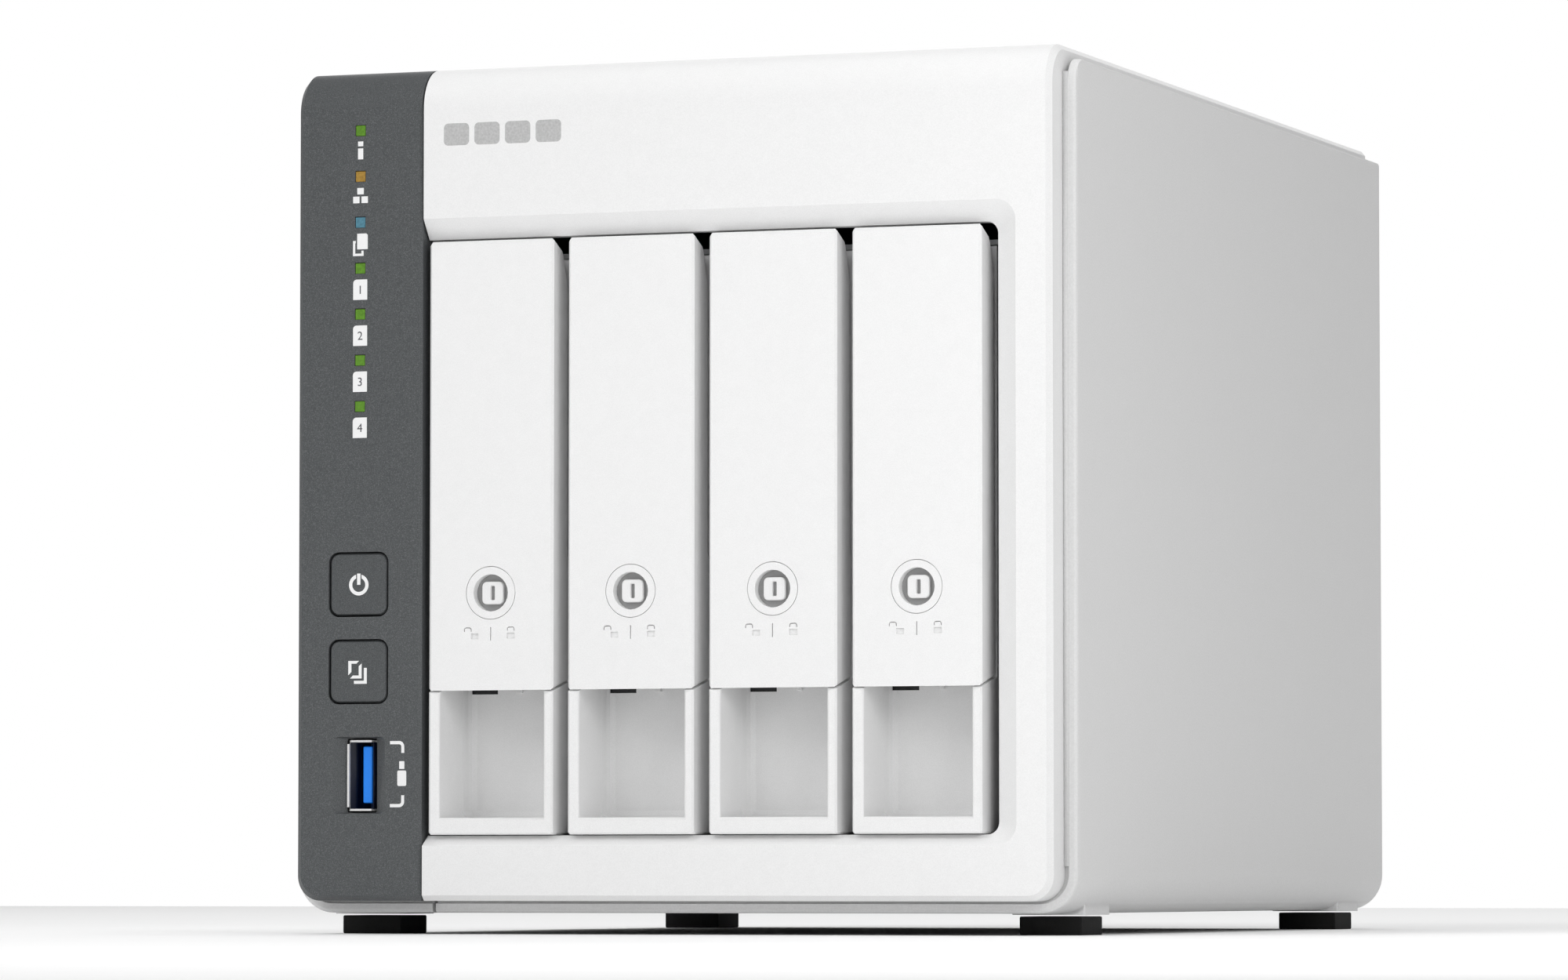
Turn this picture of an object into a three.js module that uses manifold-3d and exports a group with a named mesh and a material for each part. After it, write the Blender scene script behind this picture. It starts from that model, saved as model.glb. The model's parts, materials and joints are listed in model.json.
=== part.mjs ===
// A four-bay desktop network storage box: a two-part case around a drive cage, with a front shell,
// a control panel, four drive trays with hinged latches, a mainboard with its ports, and a rear fan.
// Millimetres, +Z up. The origin is on the floor under the middle of the box, the front faces -Y.
// Every sub-part is drawn with Y counted from the front plane; the outer group moves it to the origin.
import * as THREE from "three";
import { mergeVertices } from "three/addons/utils/BufferGeometryUtils.js";
import Module from "manifold-3d";

const wasm = await Module();
wasm.setup();

// ---- Driving dimensions --------------------------------------------------------------------
const WIDTH = 160;
const DEPTH = 219;
const HEIGHT = 168;
const GAP = 0.3; // between parts that touch

// Case: two shells that meet under the floor of the box
const CASE_WALL = 1.8;
const CASE_BOTTOM = 4.12;
const CASE_TOP = 165.5;
const CASE_FRONT = 7; // where the case begins behind the front shell
const CASE_CORNER = 7.5; // radius of the long bottom edges
const CASE_TOP_CORNER = 5; // radius of the upper front corner, seen from the side
const CASE_EDGE = 0.7; // rounding of the front and top edges
const CASE_SEAM = -51; // where the two shells meet
const CASE_LEDGE = [7.9, 9.4]; // the ledge behind the rim of the front shell
const LEDGE_TOP = 162.5;

// Front shell: the bezel, the top plate and the control panel share one outline
const SHELL_HALF = 77.2;
const SHELL_BOTTOM = 6.45;
const SHELL_WALL = 2.2;
const SHELL_DEPTH = 7.6; // how far its side walls run back
const SHELL_TOP_DEPTH = 14; // and above the ledge of the case
const SHELL_CORNER = 4.8;
const SHELL_CHAMFER = 1.05;
const SHELL_FILLET = 8.2; // where the front turns into the top
const PANEL_RIGHT = -50.95; // right side of the control panel
const PANEL_TOP_END = 10.5; // how far the control panel runs back on the top
const PANEL_EDGE = 0.6; // chamfer beside the seam with the bezel

// Tray opening: the bevel's outer edge on the front plane and its inner edge
const OPENING_OUTER = { right: 70.2, bottom: 17.03, top: 138.33, corner: 4 };
const OPENING_INNER = { right: 65.8, bottom: 19.0, top: 134.4, corner: 2.3 };
const BEVEL_DEPTH = 3;
const OPENING_DEPTH = 6;
const OPENING_WALL = 2.4; // thickness of the frame behind the opening

// Trays
const BAYS = 4;
const BAY_PITCH = 28.96;
const FIRST_BAY = -36.58;
const TRAY_HALF = 12.93;
const TRAY_FACE = 0.4;
const TRAY_BOTTOM = 19.15;
const POCKET = { left: -10.58, right: 10.9, bottom: 22.45, back: 16, top: 54.5 };
const POCKET_ROUNDING = 1.4;
const TRAY_BLOCK_BACK = 17.5;
const TRAY_BLOCK_TOP = 56;
const TRAY_PLATE = [10, 11.6];
const RAIL_HALF = 9;
const RAIL_END = 158;
const RAIL_HEIGHT = 2.4;

// Latches: hinged near the top, with a lock low down
const LATCH_FACE = 0.5;
const LATCH_BACK = 9;
const LATCH_BOTTOM = 46.9;
const LATCH_TOP = 133.85;
const PARTING_SLOPE = 0.234; // the joint with the pocket rises towards the back
const PIVOT = { y: 3.4, z: 127.5 };
const PIN_RADIUS = 0.8;
const HINGE_EAR = { offset: 7.2, halfThickness: 1.2, radius: 1.65 };
const LATCH_WALL = 1.4;
const LOCK_Z = 65.67;
const LOCK_HOLE = 3.6;
const LOCK_BOSS = { radius: 5.1, back: 7.1 };

// Drives: the standard 3.5-inch size
const DRIVE = { thickness: 26.1, length: 147, width: 101.6, front: 19, bottom: 25.7 };
const DRIVE_PLAY = 0.4; // between a drive and the rails of its tray
const SATA = { offset: -9.2, thickness: 4.4, bottom: 31, top: 72, front: 162.6 };

// Cage that guides the trays
const CAGE = { left: -51.4, right: 66.2, bottom: 20.2, top: 132.4, front: 18.5, back: 164.5, wall: 1.0 };
const RIB = { half: 0.6, height: 3.4 };
const BACKPLANE = { depth: [168.8, 170.4], height: [24, 78] };

// Mainboard in the left compartment, parts on its left side
const BOARD = { left: -60.6, right: -59.0, front: 9.6, back: 213, bottom: 14, top: 159 };
const PORT_BASE = -60.9; // where the parts on the board begin
const PORT_END = 218; // rear face of the ports
const CHIP = { y: [72, 94], z: [90, 112], thickness: 1.1 };
const SINK = { y: [60, 106], z: [78, 124], base: 2.2, top: -74, fins: 9, fin: 1.2 };

// Control panel features
const LED = { x: -63.97, size: 2, front: 0.15 };
const LED_HEIGHTS = [156.0, 147.08, 138.12, 129.17, 120.22, 111.23, 102.24];
const BUTTON = { x: -64.1, size: 12, corner: 1.8, face: 0.1, travel: 0.8 };
const POWER_Z = 67.68;
const COPY_Z = 50.75;
const USB = { left: -66.76, right: -61.05, bottom: 23.81, top: 37.51, front: 0.9, back: 15, wall: 0.4 };
const USB_RECESS = { left: -69.55, right: -58.4, bottom: 23.23, top: 38.15, depth: 1.6 };
const USB_TONGUE = { across: [-64, -62], height: [25.31, 36.33], front: 2.2, base: 11.5 };

// Rear panel and fan
const REAR_PANEL = [215.4, 217];
const FAN = { x: 12, z: 84, size: 120, front: 188.3, back: 213.3, bore: 58, hub: 20, motor: 4 };
const BLADES = { count: 9, tip: 55, thickness: 1.6, chord: 24, pitch: 0.62 };
const RINGS = { count: 4, pitch: 11, width: 2.2, outerWidth: 4, centre: 16 };
const GUARD = [213.6, 215.1];
const LAN_HEIGHTS = [112, 92];
const REAR_USB_Z = 70;
const DC_Z = 40;
const RESET = { x: -67, z: 130, radius: 1.2 };
const REAR_SCREWS = [
  [-72, 155],
  [72, 155],
  [-72, 18],
  [72, 18],
];

// Feet
const FOOT = { x: 70.07, width: 12.4, length: 13, height: 3.55, centres: [27, 201.3] };
const PAD_MARGIN = 1.15;

// ---- Solids: geometry classes turned into closed solids that join and cut ------------------------
function solid(geometry) {
  const plain = geometry.clone();
  plain.deleteAttribute("normal");
  plain.deleteAttribute("uv");
  const merged = mergeVertices(plain, 1e-4);
  return new wasm.Manifold(
    new wasm.Mesh({
      numProp: 3,
      vertProperties: merged.attributes.position.array,
      triVerts: new Uint32Array(merged.index.array),
    }),
  );
}

const join = (first, ...rest) => rest.reduce((sum, next) => sum.add(next), first);
const cut = (first, ...rest) => rest.reduce((left, next) => left.subtract(next), first);

function block([x0, x1], [y0, y1], [z0, z1]) {
  const box = new THREE.BoxGeometry(x1 - x0, y1 - y0, z1 - z0);
  return solid(box.translate((x0 + x1) / 2, (y0 + y1) / 2, (z0 + z1) / 2));
}

function cylinderY(x, z, radius, [y0, y1], segments = 24) {
  const tube = new THREE.CylinderGeometry(radius, radius, y1 - y0, segments);
  return solid(tube.translate(x, (y0 + y1) / 2, z));
}

function cylinderX([x0, x1], y, z, radius, segments = 16) {
  const tube = new THREE.CylinderGeometry(radius, radius, x1 - x0, segments);
  return solid(tube.rotateZ(Math.PI / 2).translate((x0 + x1) / 2, y, z));
}

// Options: a bevel of this size at both ends of the pushed outline, its steps, and the steps of each arc.
function extrusion(shape, depth, { bevel = 0, steps = 1, arc = 8 } = {}) {
  const geometry = new THREE.ExtrudeGeometry(shape, {
    depth: depth - 2 * bevel,
    curveSegments: arc,
    bevelEnabled: bevel > 0,
    bevelThickness: bevel,
    bevelSize: bevel,
    bevelOffset: -bevel,
    bevelSegments: steps,
  });
  return geometry.translate(0, 0, bevel);
}

// An (x, z) outline pushed along Y.
function prismY(shape, [y0, y1], options) {
  return solid(extrusion(shape, y1 - y0, options).rotateX(Math.PI / 2).translate(0, y1, 0));
}

// A (y, z) outline pushed along X.
function prismX(shape, [x0, x1], options) {
  const turn = new THREE.Matrix4().makeBasis(
    new THREE.Vector3(0, 1, 0),
    new THREE.Vector3(0, 0, 1),
    new THREE.Vector3(1, 0, 0),
  );
  return solid(extrusion(shape, x1 - x0, options).applyMatrix4(turn).translate(x0, 0, 0));
}

function polygon(points) {
  return new THREE.Shape(points.map(([u, v]) => new THREE.Vector2(u, v)));
}

// A rectangle with a radius at each corner: low-low, high-low, high-high, low-high.
function roundedRectangle([u0, u1], [v0, v1], radii) {
  const [a, b, c, d] = Array.isArray(radii) ? radii : [radii, radii, radii, radii];
  const shape = new THREE.Shape();
  shape.moveTo(u0 + a, v0);
  const corners = [
    [u1, v0, b, -1, 1, -Math.PI / 2],
    [u1, v1, c, -1, -1, 0],
    [u0, v1, d, 1, -1, Math.PI / 2],
    [u0, v0, a, 1, 1, Math.PI],
  ];
  for (const [u, v, radius, inU, inV, start] of corners) {
    if (radius) shape.absarc(u + inU * radius, v + inV * radius, radius, start, start + Math.PI / 2);
    else shape.lineTo(u, v);
  }
  return shape;
}

// A closed solid through (x, z) outlines with the same number of points, each at its own y.
function loftY(outlines) {
  const count = outlines[0].points.length;
  const positions = [];
  const indices = [];
  for (const { points, y } of outlines) for (const p of points) positions.push(p.x, y, p.y);
  outlines.slice(1).forEach((_, ring) => {
    for (let i = 0; i < count; i++) {
      const [a, b] = [ring * count + i, ring * count + ((i + 1) % count)];
      indices.push(a, a + count, b, b, a + count, b + count);
    }
  });
  const last = (outlines.length - 1) * count;
  for (const [a, b, c] of THREE.ShapeUtils.triangulateShape(outlines[0].points, [])) {
    indices.push(a, b, c, last + a, last + c, last + b);
  }
  const geometry = new THREE.BufferGeometry();
  geometry.setAttribute("position", new THREE.Float32BufferAttribute(positions, 3));
  geometry.setIndex(indices);
  const made = solid(geometry);
  if (made.volume() < 0) throw new Error("the lofted outline runs the wrong way round");
  return made;
}

// ---- The scene graph -------------------------------------------------------------------------
const box = new THREE.Group();
const assembly = new THREE.Group();
assembly.position.y = -DEPTH / 2;
box.add(assembly);

function addPart(name, shape, color, roughness = 0.5, metalness = 0) {
  const { vertProperties, triVerts } = shape.getMesh();
  const geometry = new THREE.BufferGeometry();
  geometry.setAttribute("position", new THREE.BufferAttribute(vertProperties, 3));
  geometry.setIndex(new THREE.BufferAttribute(triVerts, 1));
  geometry.computeVertexNormals();
  const material = new THREE.MeshStandardMaterial({ color, roughness, metalness });
  const mesh = new THREE.Mesh(geometry, material);
  mesh.name = name;
  assembly.add(mesh);
}

const COLOR = {
  white: "#f1f1f1",
  caseGrey: "#d6d6d6",
  panel: "#55595b",
  button: "#4b4f51",
  rubber: "#121212",
  steel: "#b9bcbe",
  aluminium: "#c4c6c8",
  board: "#1d4a32",
  black: "#1a1b1d",
  blue: "#1e7be0",
  clear: "#dfe6e2",
};

// ---- Case --------------------------------------------------------------------------------------
function caseShell() {
  const half = WIDTH / 2;
  const beyond = 10;
  const outline = roundedRectangle(
    [-half, half],
    [CASE_BOTTOM, CASE_TOP + beyond],
    [CASE_CORNER, CASE_CORNER, 0, 0],
  );
  const outer = prismY(outline, [CASE_FRONT, DEPTH + beyond], { bevel: CASE_EDGE, steps: 2, arc: 6 });
  const side = roundedRectangle(
    [CASE_FRONT, DEPTH + beyond],
    [-beyond, CASE_TOP],
    [0, 0, 0, CASE_TOP_CORNER],
  );
  const sideways = prismX(side, [-half, half], { bevel: CASE_EDGE, steps: 2, arc: 5 });
  const inner = caseInside(CASE_WALL, [0, DEPTH + 2 * beyond]);
  const rearTrim = block([-half - 1, half + 1], [DEPTH, DEPTH + 2 * beyond], [0, HEIGHT + beyond]);
  return cut(join(cut(outer.intersect(sideways), inner), caseLedge(), topLips()), rearTrim);
}

// A ledge runs round the case just behind the rim of the front shell.
function caseLedge() {
  const rooted = 0.4; // into the wall
  const reach = 3;
  const [front, back] = CASE_LEDGE;
  const ring = cut(
    caseInside(CASE_WALL - rooted, CASE_LEDGE),
    caseInside(CASE_WALL + reach, [front - 1, back + 1]),
  );
  return ring.intersect(block([-WIDTH, WIDTH], [0, DEPTH], [0, LEDGE_TOP]));
}

// Lips along both sides, under the edges of the top plate.
function topLips() {
  const outer = WIDTH / 2 - 1;
  const inner = SHELL_HALF + GAP;
  const strip = (x) => block(x, [CASE_LEDGE[1] + 1, DEPTH - 5], [LEDGE_TOP, LEDGE_TOP + 1.5]);
  return join(strip([-outer, -inner]), strip([inner, outer]));
}

// The space inside the case, drawn inwards from its outside by a wall.
function caseInside(wall, depths) {
  const half = WIDTH / 2 - wall;
  const radius = CASE_CORNER - wall;
  const outline = roundedRectangle([-half, half], [CASE_BOTTOM + wall, HEIGHT + 40], [radius, radius, 0, 0]);
  return prismY(outline, depths);
}

// The moulded pads that carry the feet stand a little proud of the floor of the case.
function footPad(side, y) {
  const halfX = FOOT.width / 2 + PAD_MARGIN;
  const halfY = FOOT.length / 2 + PAD_MARGIN;
  const x = side * FOOT.x;
  const pad = roundedRectangle([x - halfX, x + halfX], [y - halfY, y + halfY], 0.6);
  const height = 2.4; // up into the floor of the case
  return solid(extrusion(pad, height, { arc: 3 }).translate(0, 0, FOOT.height + GAP));
}

function addCase() {
  const shell = caseShell();
  const pads = (side) => FOOT.centres.map((y) => footPad(side, y));
  const seam = GAP + 0.05;
  const everything = [0, HEIGHT];
  const left = shell.intersect(block([-WIDTH, CASE_SEAM - seam], [0, DEPTH], everything));
  const right = shell.intersect(block([CASE_SEAM + seam, WIDTH], [0, DEPTH], everything));
  addPart("left_cover", join(left, ...pads(-1)), COLOR.caseGrey, 0.45);
  addPart("right_cover", join(right, ...pads(1)), COLOR.caseGrey, 0.45);
}

function addFeet() {
  const names = { "-1": "left", 1: "right" };
  for (const side of [-1, 1]) {
    FOOT.centres.forEach((y, i) => {
      const x = side * FOOT.x;
      const foot = block(
        [x - FOOT.width / 2, x + FOOT.width / 2],
        [y - FOOT.length / 2, y + FOOT.length / 2],
        [0, FOOT.height],
      );
      addPart(`foot_${i ? "rear" : "front"}_${names[side]}`, foot, COLOR.rubber, 0.9);
    });
  }
}

// ---- Front shell ---------------------------------------------------------------------------------
// The (y, z) outline of the front and the top, drawn inwards by a wall.
function shellProfile(wall, bottom, back) {
  const shape = new THREE.Shape();
  const fillet = SHELL_FILLET - wall;
  const edge = wall ? 0 : SHELL_CHAMFER;
  shape.moveTo(back, bottom);
  shape.lineTo(back, HEIGHT - wall);
  shape.absarc(SHELL_FILLET, HEIGHT - SHELL_FILLET, fillet, Math.PI / 2, Math.PI);
  shape.lineTo(wall, bottom + edge);
  shape.lineTo(wall + edge, bottom);
  return shape;
}

function shellBody() {
  const outer = prismX(shellProfile(0, SHELL_BOTTOM, DEPTH), [-SHELL_HALF, SHELL_HALF], {
    bevel: SHELL_CHAMFER,
    arc: 10,
  });
  const front = roundedRectangle(
    [-SHELL_HALF, SHELL_HALF],
    [SHELL_BOTTOM, HEIGHT + 20],
    [SHELL_CORNER, SHELL_CORNER, 0, 0],
  );
  const rounded = prismY(front, [0, DEPTH + 20], { bevel: SHELL_CHAMFER, arc: 8 });
  const inHalf = SHELL_HALF - SHELL_WALL;
  const inner = prismX(shellProfile(SHELL_WALL, -20, DEPTH + 20), [-inHalf, inHalf], { arc: 8 });
  const inCorner = SHELL_CORNER - SHELL_WALL;
  const inFront = roundedRectangle(
    [-inHalf, inHalf],
    [SHELL_BOTTOM + SHELL_WALL, HEIGHT + 40],
    [inCorner, inCorner, 0, 0],
  );
  const hollow = inner.intersect(prismY(inFront, [0, DEPTH + 20], { arc: 6 }));
  const behind = (start, height) => block([-WIDTH, WIDTH], [start, DEPTH + 20], height);
  return cut(
    outer.intersect(rounded),
    hollow,
    behind(SHELL_DEPTH, [0, LEDGE_TOP + GAP]),
    behind(SHELL_TOP_DEPTH, [LEDGE_TOP, HEIGHT - SHELL_WALL]),
  );
}

// The tray opening: a bevelled mouth that is open towards the control panel.
function openingCutter() {
  const outline = ({ right, bottom, top, corner }) =>
    roundedRectangle([PANEL_RIGHT - 30, right], [bottom, top], [1, corner, corner, 1]).getPoints(6);
  const outer = outline(OPENING_OUTER);
  const inner = outline(OPENING_INNER);
  const ahead = -1;
  const stretched = outer.map((p, i) => {
    const reach = 1 - ahead / BEVEL_DEPTH;
    return new THREE.Vector2().lerpVectors(inner[i], p, reach);
  });
  return loftY([
    { points: stretched, y: ahead },
    { points: inner, y: BEVEL_DEPTH },
    { points: inner, y: OPENING_DEPTH + 10 },
  ]);
}

function addFrontBezel(body) {
  const split = PANEL_RIGHT + GAP + 0.05;
  const panelZone = block([-WIDTH, split], [-1, PANEL_TOP_END + GAP], [0, HEIGHT + 1]);
  // A frame behind the front wall deepens the opening.
  const start = SHELL_WALL - 0.1;
  const frame = block(
    [split, OPENING_INNER.right + OPENING_WALL],
    [start, OPENING_DEPTH],
    [OPENING_INNER.bottom - OPENING_WALL, OPENING_INNER.top + OPENING_WALL],
  );
  // A thickening carries the bevel on the right.
  const backing = block([OPENING_INNER.right, SHELL_HALF - 1.5], [start, BEVEL_DEPTH + 0.4], [12, 145]);
  const bezel = cut(join(cut(body, panelZone), frame, backing), openingCutter());
  addPart("front_bezel", bezel, COLOR.white, 0.4);
}

function buttonHole(z) {
  const half = BUTTON.size / 2 + GAP;
  const corner = BUTTON.corner + GAP;
  const hole = roundedRectangle([BUTTON.x - half, BUTTON.x + half], [z - half, z + half], corner);
  return prismY(hole, [-1, SHELL_WALL + 1], { arc: 4 });
}

function usbHole() {
  const { left, right, bottom, top } = USB_RECESS;
  const outer = roundedRectangle([left, right], [bottom, top], 1.2);
  const inner = roundedRectangle(
    [USB.left - GAP, USB.right + GAP],
    [USB.bottom - GAP, USB.top + GAP],
    0.4,
  );
  const [wide, narrow] = [outer.getPoints(3), inner.getPoints(3)];
  return loftY([
    { points: wide, y: -1 },
    { points: wide, y: 0 },
    { points: narrow, y: USB_RECESS.depth },
    { points: narrow, y: SHELL_WALL + 2 },
  ]);
}

function addControlPanel(body) {
  const zone = block([-WIDTH, PANEL_RIGHT], [-1, PANEL_TOP_END], [0, HEIGHT + 1]);
  // An (x, y) outline pushed upwards: the chamfer beside the seam with the bezel.
  const corner = polygon([
    [PANEL_RIGHT - PANEL_EDGE, 0],
    [PANEL_RIGHT + 1, 0],
    [PANEL_RIGHT + 1, PANEL_EDGE + 1],
    [PANEL_RIGHT, PANEL_EDGE],
  ]);
  const chamfer = solid(extrusion(corner, HEIGHT - SHELL_FILLET));
  const sideWall = block([PANEL_RIGHT - 1.6, PANEL_RIGHT], [SHELL_WALL - 0.2, SHELL_DEPTH], [12, HEIGHT - 5]);
  const ledHalf = LED.size / 2 + 0.1;
  const windows = LED_HEIGHTS.map((z) =>
    block([LED.x - ledHalf, LED.x + ledHalf], [-1, SHELL_WALL + 1], [z - ledHalf, z + ledHalf]),
  );
  const panel = join(body.intersect(zone), sideWall);
  addPart(
    "control_panel",
    cut(panel, chamfer, ...windows, buttonHole(POWER_Z), buttonHole(COPY_Z), usbHole()),
    COLOR.panel,
    0.45,
    0.3,
  );
}

// One clear moulding carries the light of the seven lamps to their windows.
function addLightPipe() {
  const half = LED.size / 2 - GAP + 0.1;
  const spineFront = 7.2;
  const spine = block(
    [LED.x - 1.2, LED.x + 1.2],
    [spineFront, spineFront + 1.8],
    [LED_HEIGHTS.at(-1) - 2, LED_HEIGHTS[0] + 2],
  );
  const prongs = LED_HEIGHTS.map((z) =>
    block([LED.x - half, LED.x + half], [LED.front, spineFront + 0.4], [z - half, z + half]),
  );
  addPart("light_pipe", join(spine, ...prongs), COLOR.clear, 0.2);
}

function addButton(name, z) {
  const half = BUTTON.size / 2;
  const flange = half + 0.9; // keeps the button behind the panel
  const flangeFront = SHELL_WALL + BUTTON.travel;
  const capBack = 4;
  const stemEnd = 9.2;
  const cap = roundedRectangle([BUTTON.x - half, BUTTON.x + half], [z - half, z + half], BUTTON.corner);
  const button = join(
    prismY(cap, [BUTTON.face, capBack], { bevel: 0.3, arc: 3 }),
    block([BUTTON.x - flange, BUTTON.x + flange], [flangeFront, capBack + 0.1], [z - flange, z + flange]),
    cylinderY(BUTTON.x, z, 1.5, [capBack, stemEnd], 12),
  );
  addPart(name, button, COLOR.button, 0.45, 0.2);
  return stemEnd + BUTTON.travel;
}

function addSwitch(name, z, front) {
  const half = 3;
  const body = block([PORT_BASE - 6.4, PORT_BASE], [front + 0.1, front + 3.6], [z - half, z + half]);
  addPart(name, body, COLOR.black, 0.5);
}

function addFrontUsb() {
  const shell = cut(
    block([USB.left, USB.right], [USB.front, USB.back], [USB.bottom, USB.top]),
    block(
      [USB.left + USB.wall, USB.right - USB.wall],
      [USB.front - 1, USB.back + 1],
      [USB.bottom + USB.wall, USB.top - USB.wall],
    ),
  );
  addPart("front_usb_shell", shell, COLOR.steel, 0.25, 1);
  const inset = USB.wall + GAP;
  const { across, height, front, base } = USB_TONGUE;
  const insert = join(
    block([USB.left + inset, USB.right - inset], [base, USB.back], [USB.bottom + inset, USB.top - inset]),
    block(across, [front, base + 0.5], height),
  );
  addPart("front_usb_tongue", insert, COLOR.blue, 0.4);
}

// ---- Trays -----------------------------------------------------------------------------------------
const bayCentre = (bay) => FIRST_BAY + bay * BAY_PITCH;
const partingHeight = (y) => LATCH_BOTTOM + PARTING_SLOPE * (y - LATCH_FACE);

// An arm of the tray, slanting down to its plate, that holds the hinge pin.
function hingeEar(x) {
  const { halfThickness, radius } = HINGE_EAR;
  const span = [x - halfThickness, x + halfThickness];
  const slant = radius * Math.SQRT1_2;
  const reach = TRAY_PLATE[0] + 0.5 - PIVOT.y;
  const arm = polygon([
    [PIVOT.y - slant, PIVOT.z - slant],
    [PIVOT.y + reach, PIVOT.z - slant - reach - slant],
    [PIVOT.y + reach, PIVOT.z + slant - reach + slant],
    [PIVOT.y + slant, PIVOT.z + slant],
  ]);
  return cut(
    join(prismX(arm, span), cylinderX(span, PIVOT.y, PIVOT.z, radius, 20)),
    cylinderX([x - 3, x + 3], PIVOT.y, PIVOT.z, PIN_RADIUS + 0.3),
  );
}

// The front of a tray: a block with the finger pocket, open at the top for the latch.
function trayFront(x) {
  const body = prismX(
    roundedRectangle([TRAY_FACE, TRAY_BLOCK_BACK], [TRAY_BOTTOM, TRAY_BLOCK_TOP], [0.5, 0.5, 0, 0]),
    [x - TRAY_HALF, x + TRAY_HALF],
    { bevel: 0.4, arc: 2 },
  );
  const clear = LATCH_BACK + 0.5;
  const latchRoom = polygon([
    [-1, partingHeight(-1) - GAP],
    [clear, partingHeight(clear) - GAP],
    [clear, TRAY_BLOCK_TOP + 1],
    [-1, TRAY_BLOCK_TOP + 1],
  ]);
  const latchSpace = prismX(latchRoom, [x - TRAY_HALF - 1, x + TRAY_HALF + 1]);
  const pocketOutline = roundedRectangle(
    [x + POCKET.left, x + POCKET.right],
    [POCKET.bottom, POCKET.top],
    POCKET_ROUNDING + 0.2,
  );
  const pocket = prismY(pocketOutline, [-2, POCKET.back], { bevel: POCKET_ROUNDING, steps: 2, arc: 2 });
  return cut(body, latchSpace, pocket);
}

function addTray(name, x) {
  const railTop = DRIVE.bottom + DRIVE.width + DRIVE_PLAY;
  const plate = block(
    [x - TRAY_HALF + 0.1, x + TRAY_HALF - 0.1],
    TRAY_PLATE,
    [TRAY_BLOCK_TOP - 1, railTop + RAIL_HEIGHT + 0.3],
  );
  const rail = (start, bottom) =>
    block([x - RAIL_HALF, x + RAIL_HALF], [start, RAIL_END], [bottom, bottom + RAIL_HEIGHT]);
  const tray = join(
    trayFront(x),
    plate,
    rail(TRAY_BLOCK_BACK - 0.5, DRIVE.bottom - DRIVE_PLAY - RAIL_HEIGHT),
    rail(TRAY_PLATE[1] - 0.3, railTop),
    hingeEar(x - HINGE_EAR.offset),
    hingeEar(x + HINGE_EAR.offset),
  );
  addPart(name, tray, COLOR.white, 0.4);
}

// A hollow flap with a boss round its lock. Its rounded top clears the bezel as it swings out.
function addLatch(name, x) {
  const outline = polygon([
    [LATCH_FACE, LATCH_BOTTOM],
    [LATCH_BACK, partingHeight(LATCH_BACK)],
    [LATCH_BACK, 122],
    [7.8, 126.3],
    [6.6, 129.4],
    [6.2, 130.8],
    [5.3, 132],
    [1.1, LATCH_TOP],
    [LATCH_FACE, LATCH_TOP - 0.6],
  ]);
  const inside = polygon([
    [1.6, LATCH_BOTTOM + 1.9],
    [20, LATCH_BOTTOM + 1.9 + 18.4 * PARTING_SLOPE],
    [20, 129.8],
    [5.1, 129.8],
    [4.4, 131],
    [1.6, 132.1],
  ]);
  const inHalf = TRAY_HALF - LATCH_WALL;
  const shell = cut(
    prismX(outline, [x - TRAY_HALF, x + TRAY_HALF], { bevel: 0.45 }),
    prismX(inside, [x - inHalf, x + inHalf]),
  );
  const boss = cylinderY(x, LOCK_Z, LOCK_BOSS.radius, [LATCH_FACE + 0.6, LOCK_BOSS.back]);
  const pinHoles = [-1, 1].map((side) => {
    const ends = [x + side * (inHalf - 1), x + side * (TRAY_HALF - 0.5)].sort((p, q) => p - q);
    return cylinderX(ends, PIVOT.y, PIVOT.z, PIN_RADIUS + GAP);
  });
  const bore = cylinderY(x, LOCK_Z, LOCK_HOLE, [-1, LATCH_BACK]);
  addPart(name, cut(join(shell, boss), bore, ...pinHoles), COLOR.white, 0.4);
}

// The lock barrel turns in the latch: a recessed face with a slot across a raised boss, and a cam behind.
function addLock(name, x) {
  const barrelFace = 2.5;
  const raisedFace = 1.5;
  const camFront = LOCK_BOSS.back + GAP;
  const camBack = 8.8;
  const rounded = (half, top, radius, depths) =>
    prismY(roundedRectangle([x - half, x + half], [LOCK_Z - half, LOCK_Z + top], radius), depths, { arc: 3 });
  const barrel = cylinderY(x, LOCK_Z, LOCK_HOLE - GAP, [barrelFace, camFront + 0.1], 16);
  const knob = rounded(2.1, 2.1, 0.9, [raisedFace, barrelFace + 0.5]);
  const cam = rounded(1.6, 9, 1.5, [camFront, camBack]);
  const slot = block([x - 0.45, x + 0.45], [raisedFace - 1, raisedFace + 0.8], [LOCK_Z - 1.4, LOCK_Z + 1.4]);
  addPart(name, cut(join(barrel, knob, cam), slot), COLOR.white, 0.45);
}

function addLatchPin(name, x) {
  const end = TRAY_HALF - 0.8;
  addPart(name, cylinderX([x - end, x + end], PIVOT.y, PIVOT.z, PIN_RADIUS, 12), COLOR.steel, 0.3, 1);
}

function addDrive(name, x) {
  const half = DRIVE.thickness / 2;
  const back = DRIVE.front + DRIVE.length;
  const body = prismY(
    roundedRectangle([x - half, x + half], [DRIVE.bottom, DRIVE.bottom + DRIVE.width], 0.8),
    [DRIVE.front, back],
    { bevel: 0.6, arc: 1 },
  );
  const play = 0.8; // round the socket
  const centre = x + SATA.offset;
  const notch = block(
    [centre - SATA.thickness / 2 - play, centre + SATA.thickness / 2 + play],
    [SATA.front - play, back + 1],
    [SATA.bottom - play, SATA.top + play],
  );
  addPart(name, cut(body, notch), COLOR.aluminium, 0.35, 0.9);
}

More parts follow.
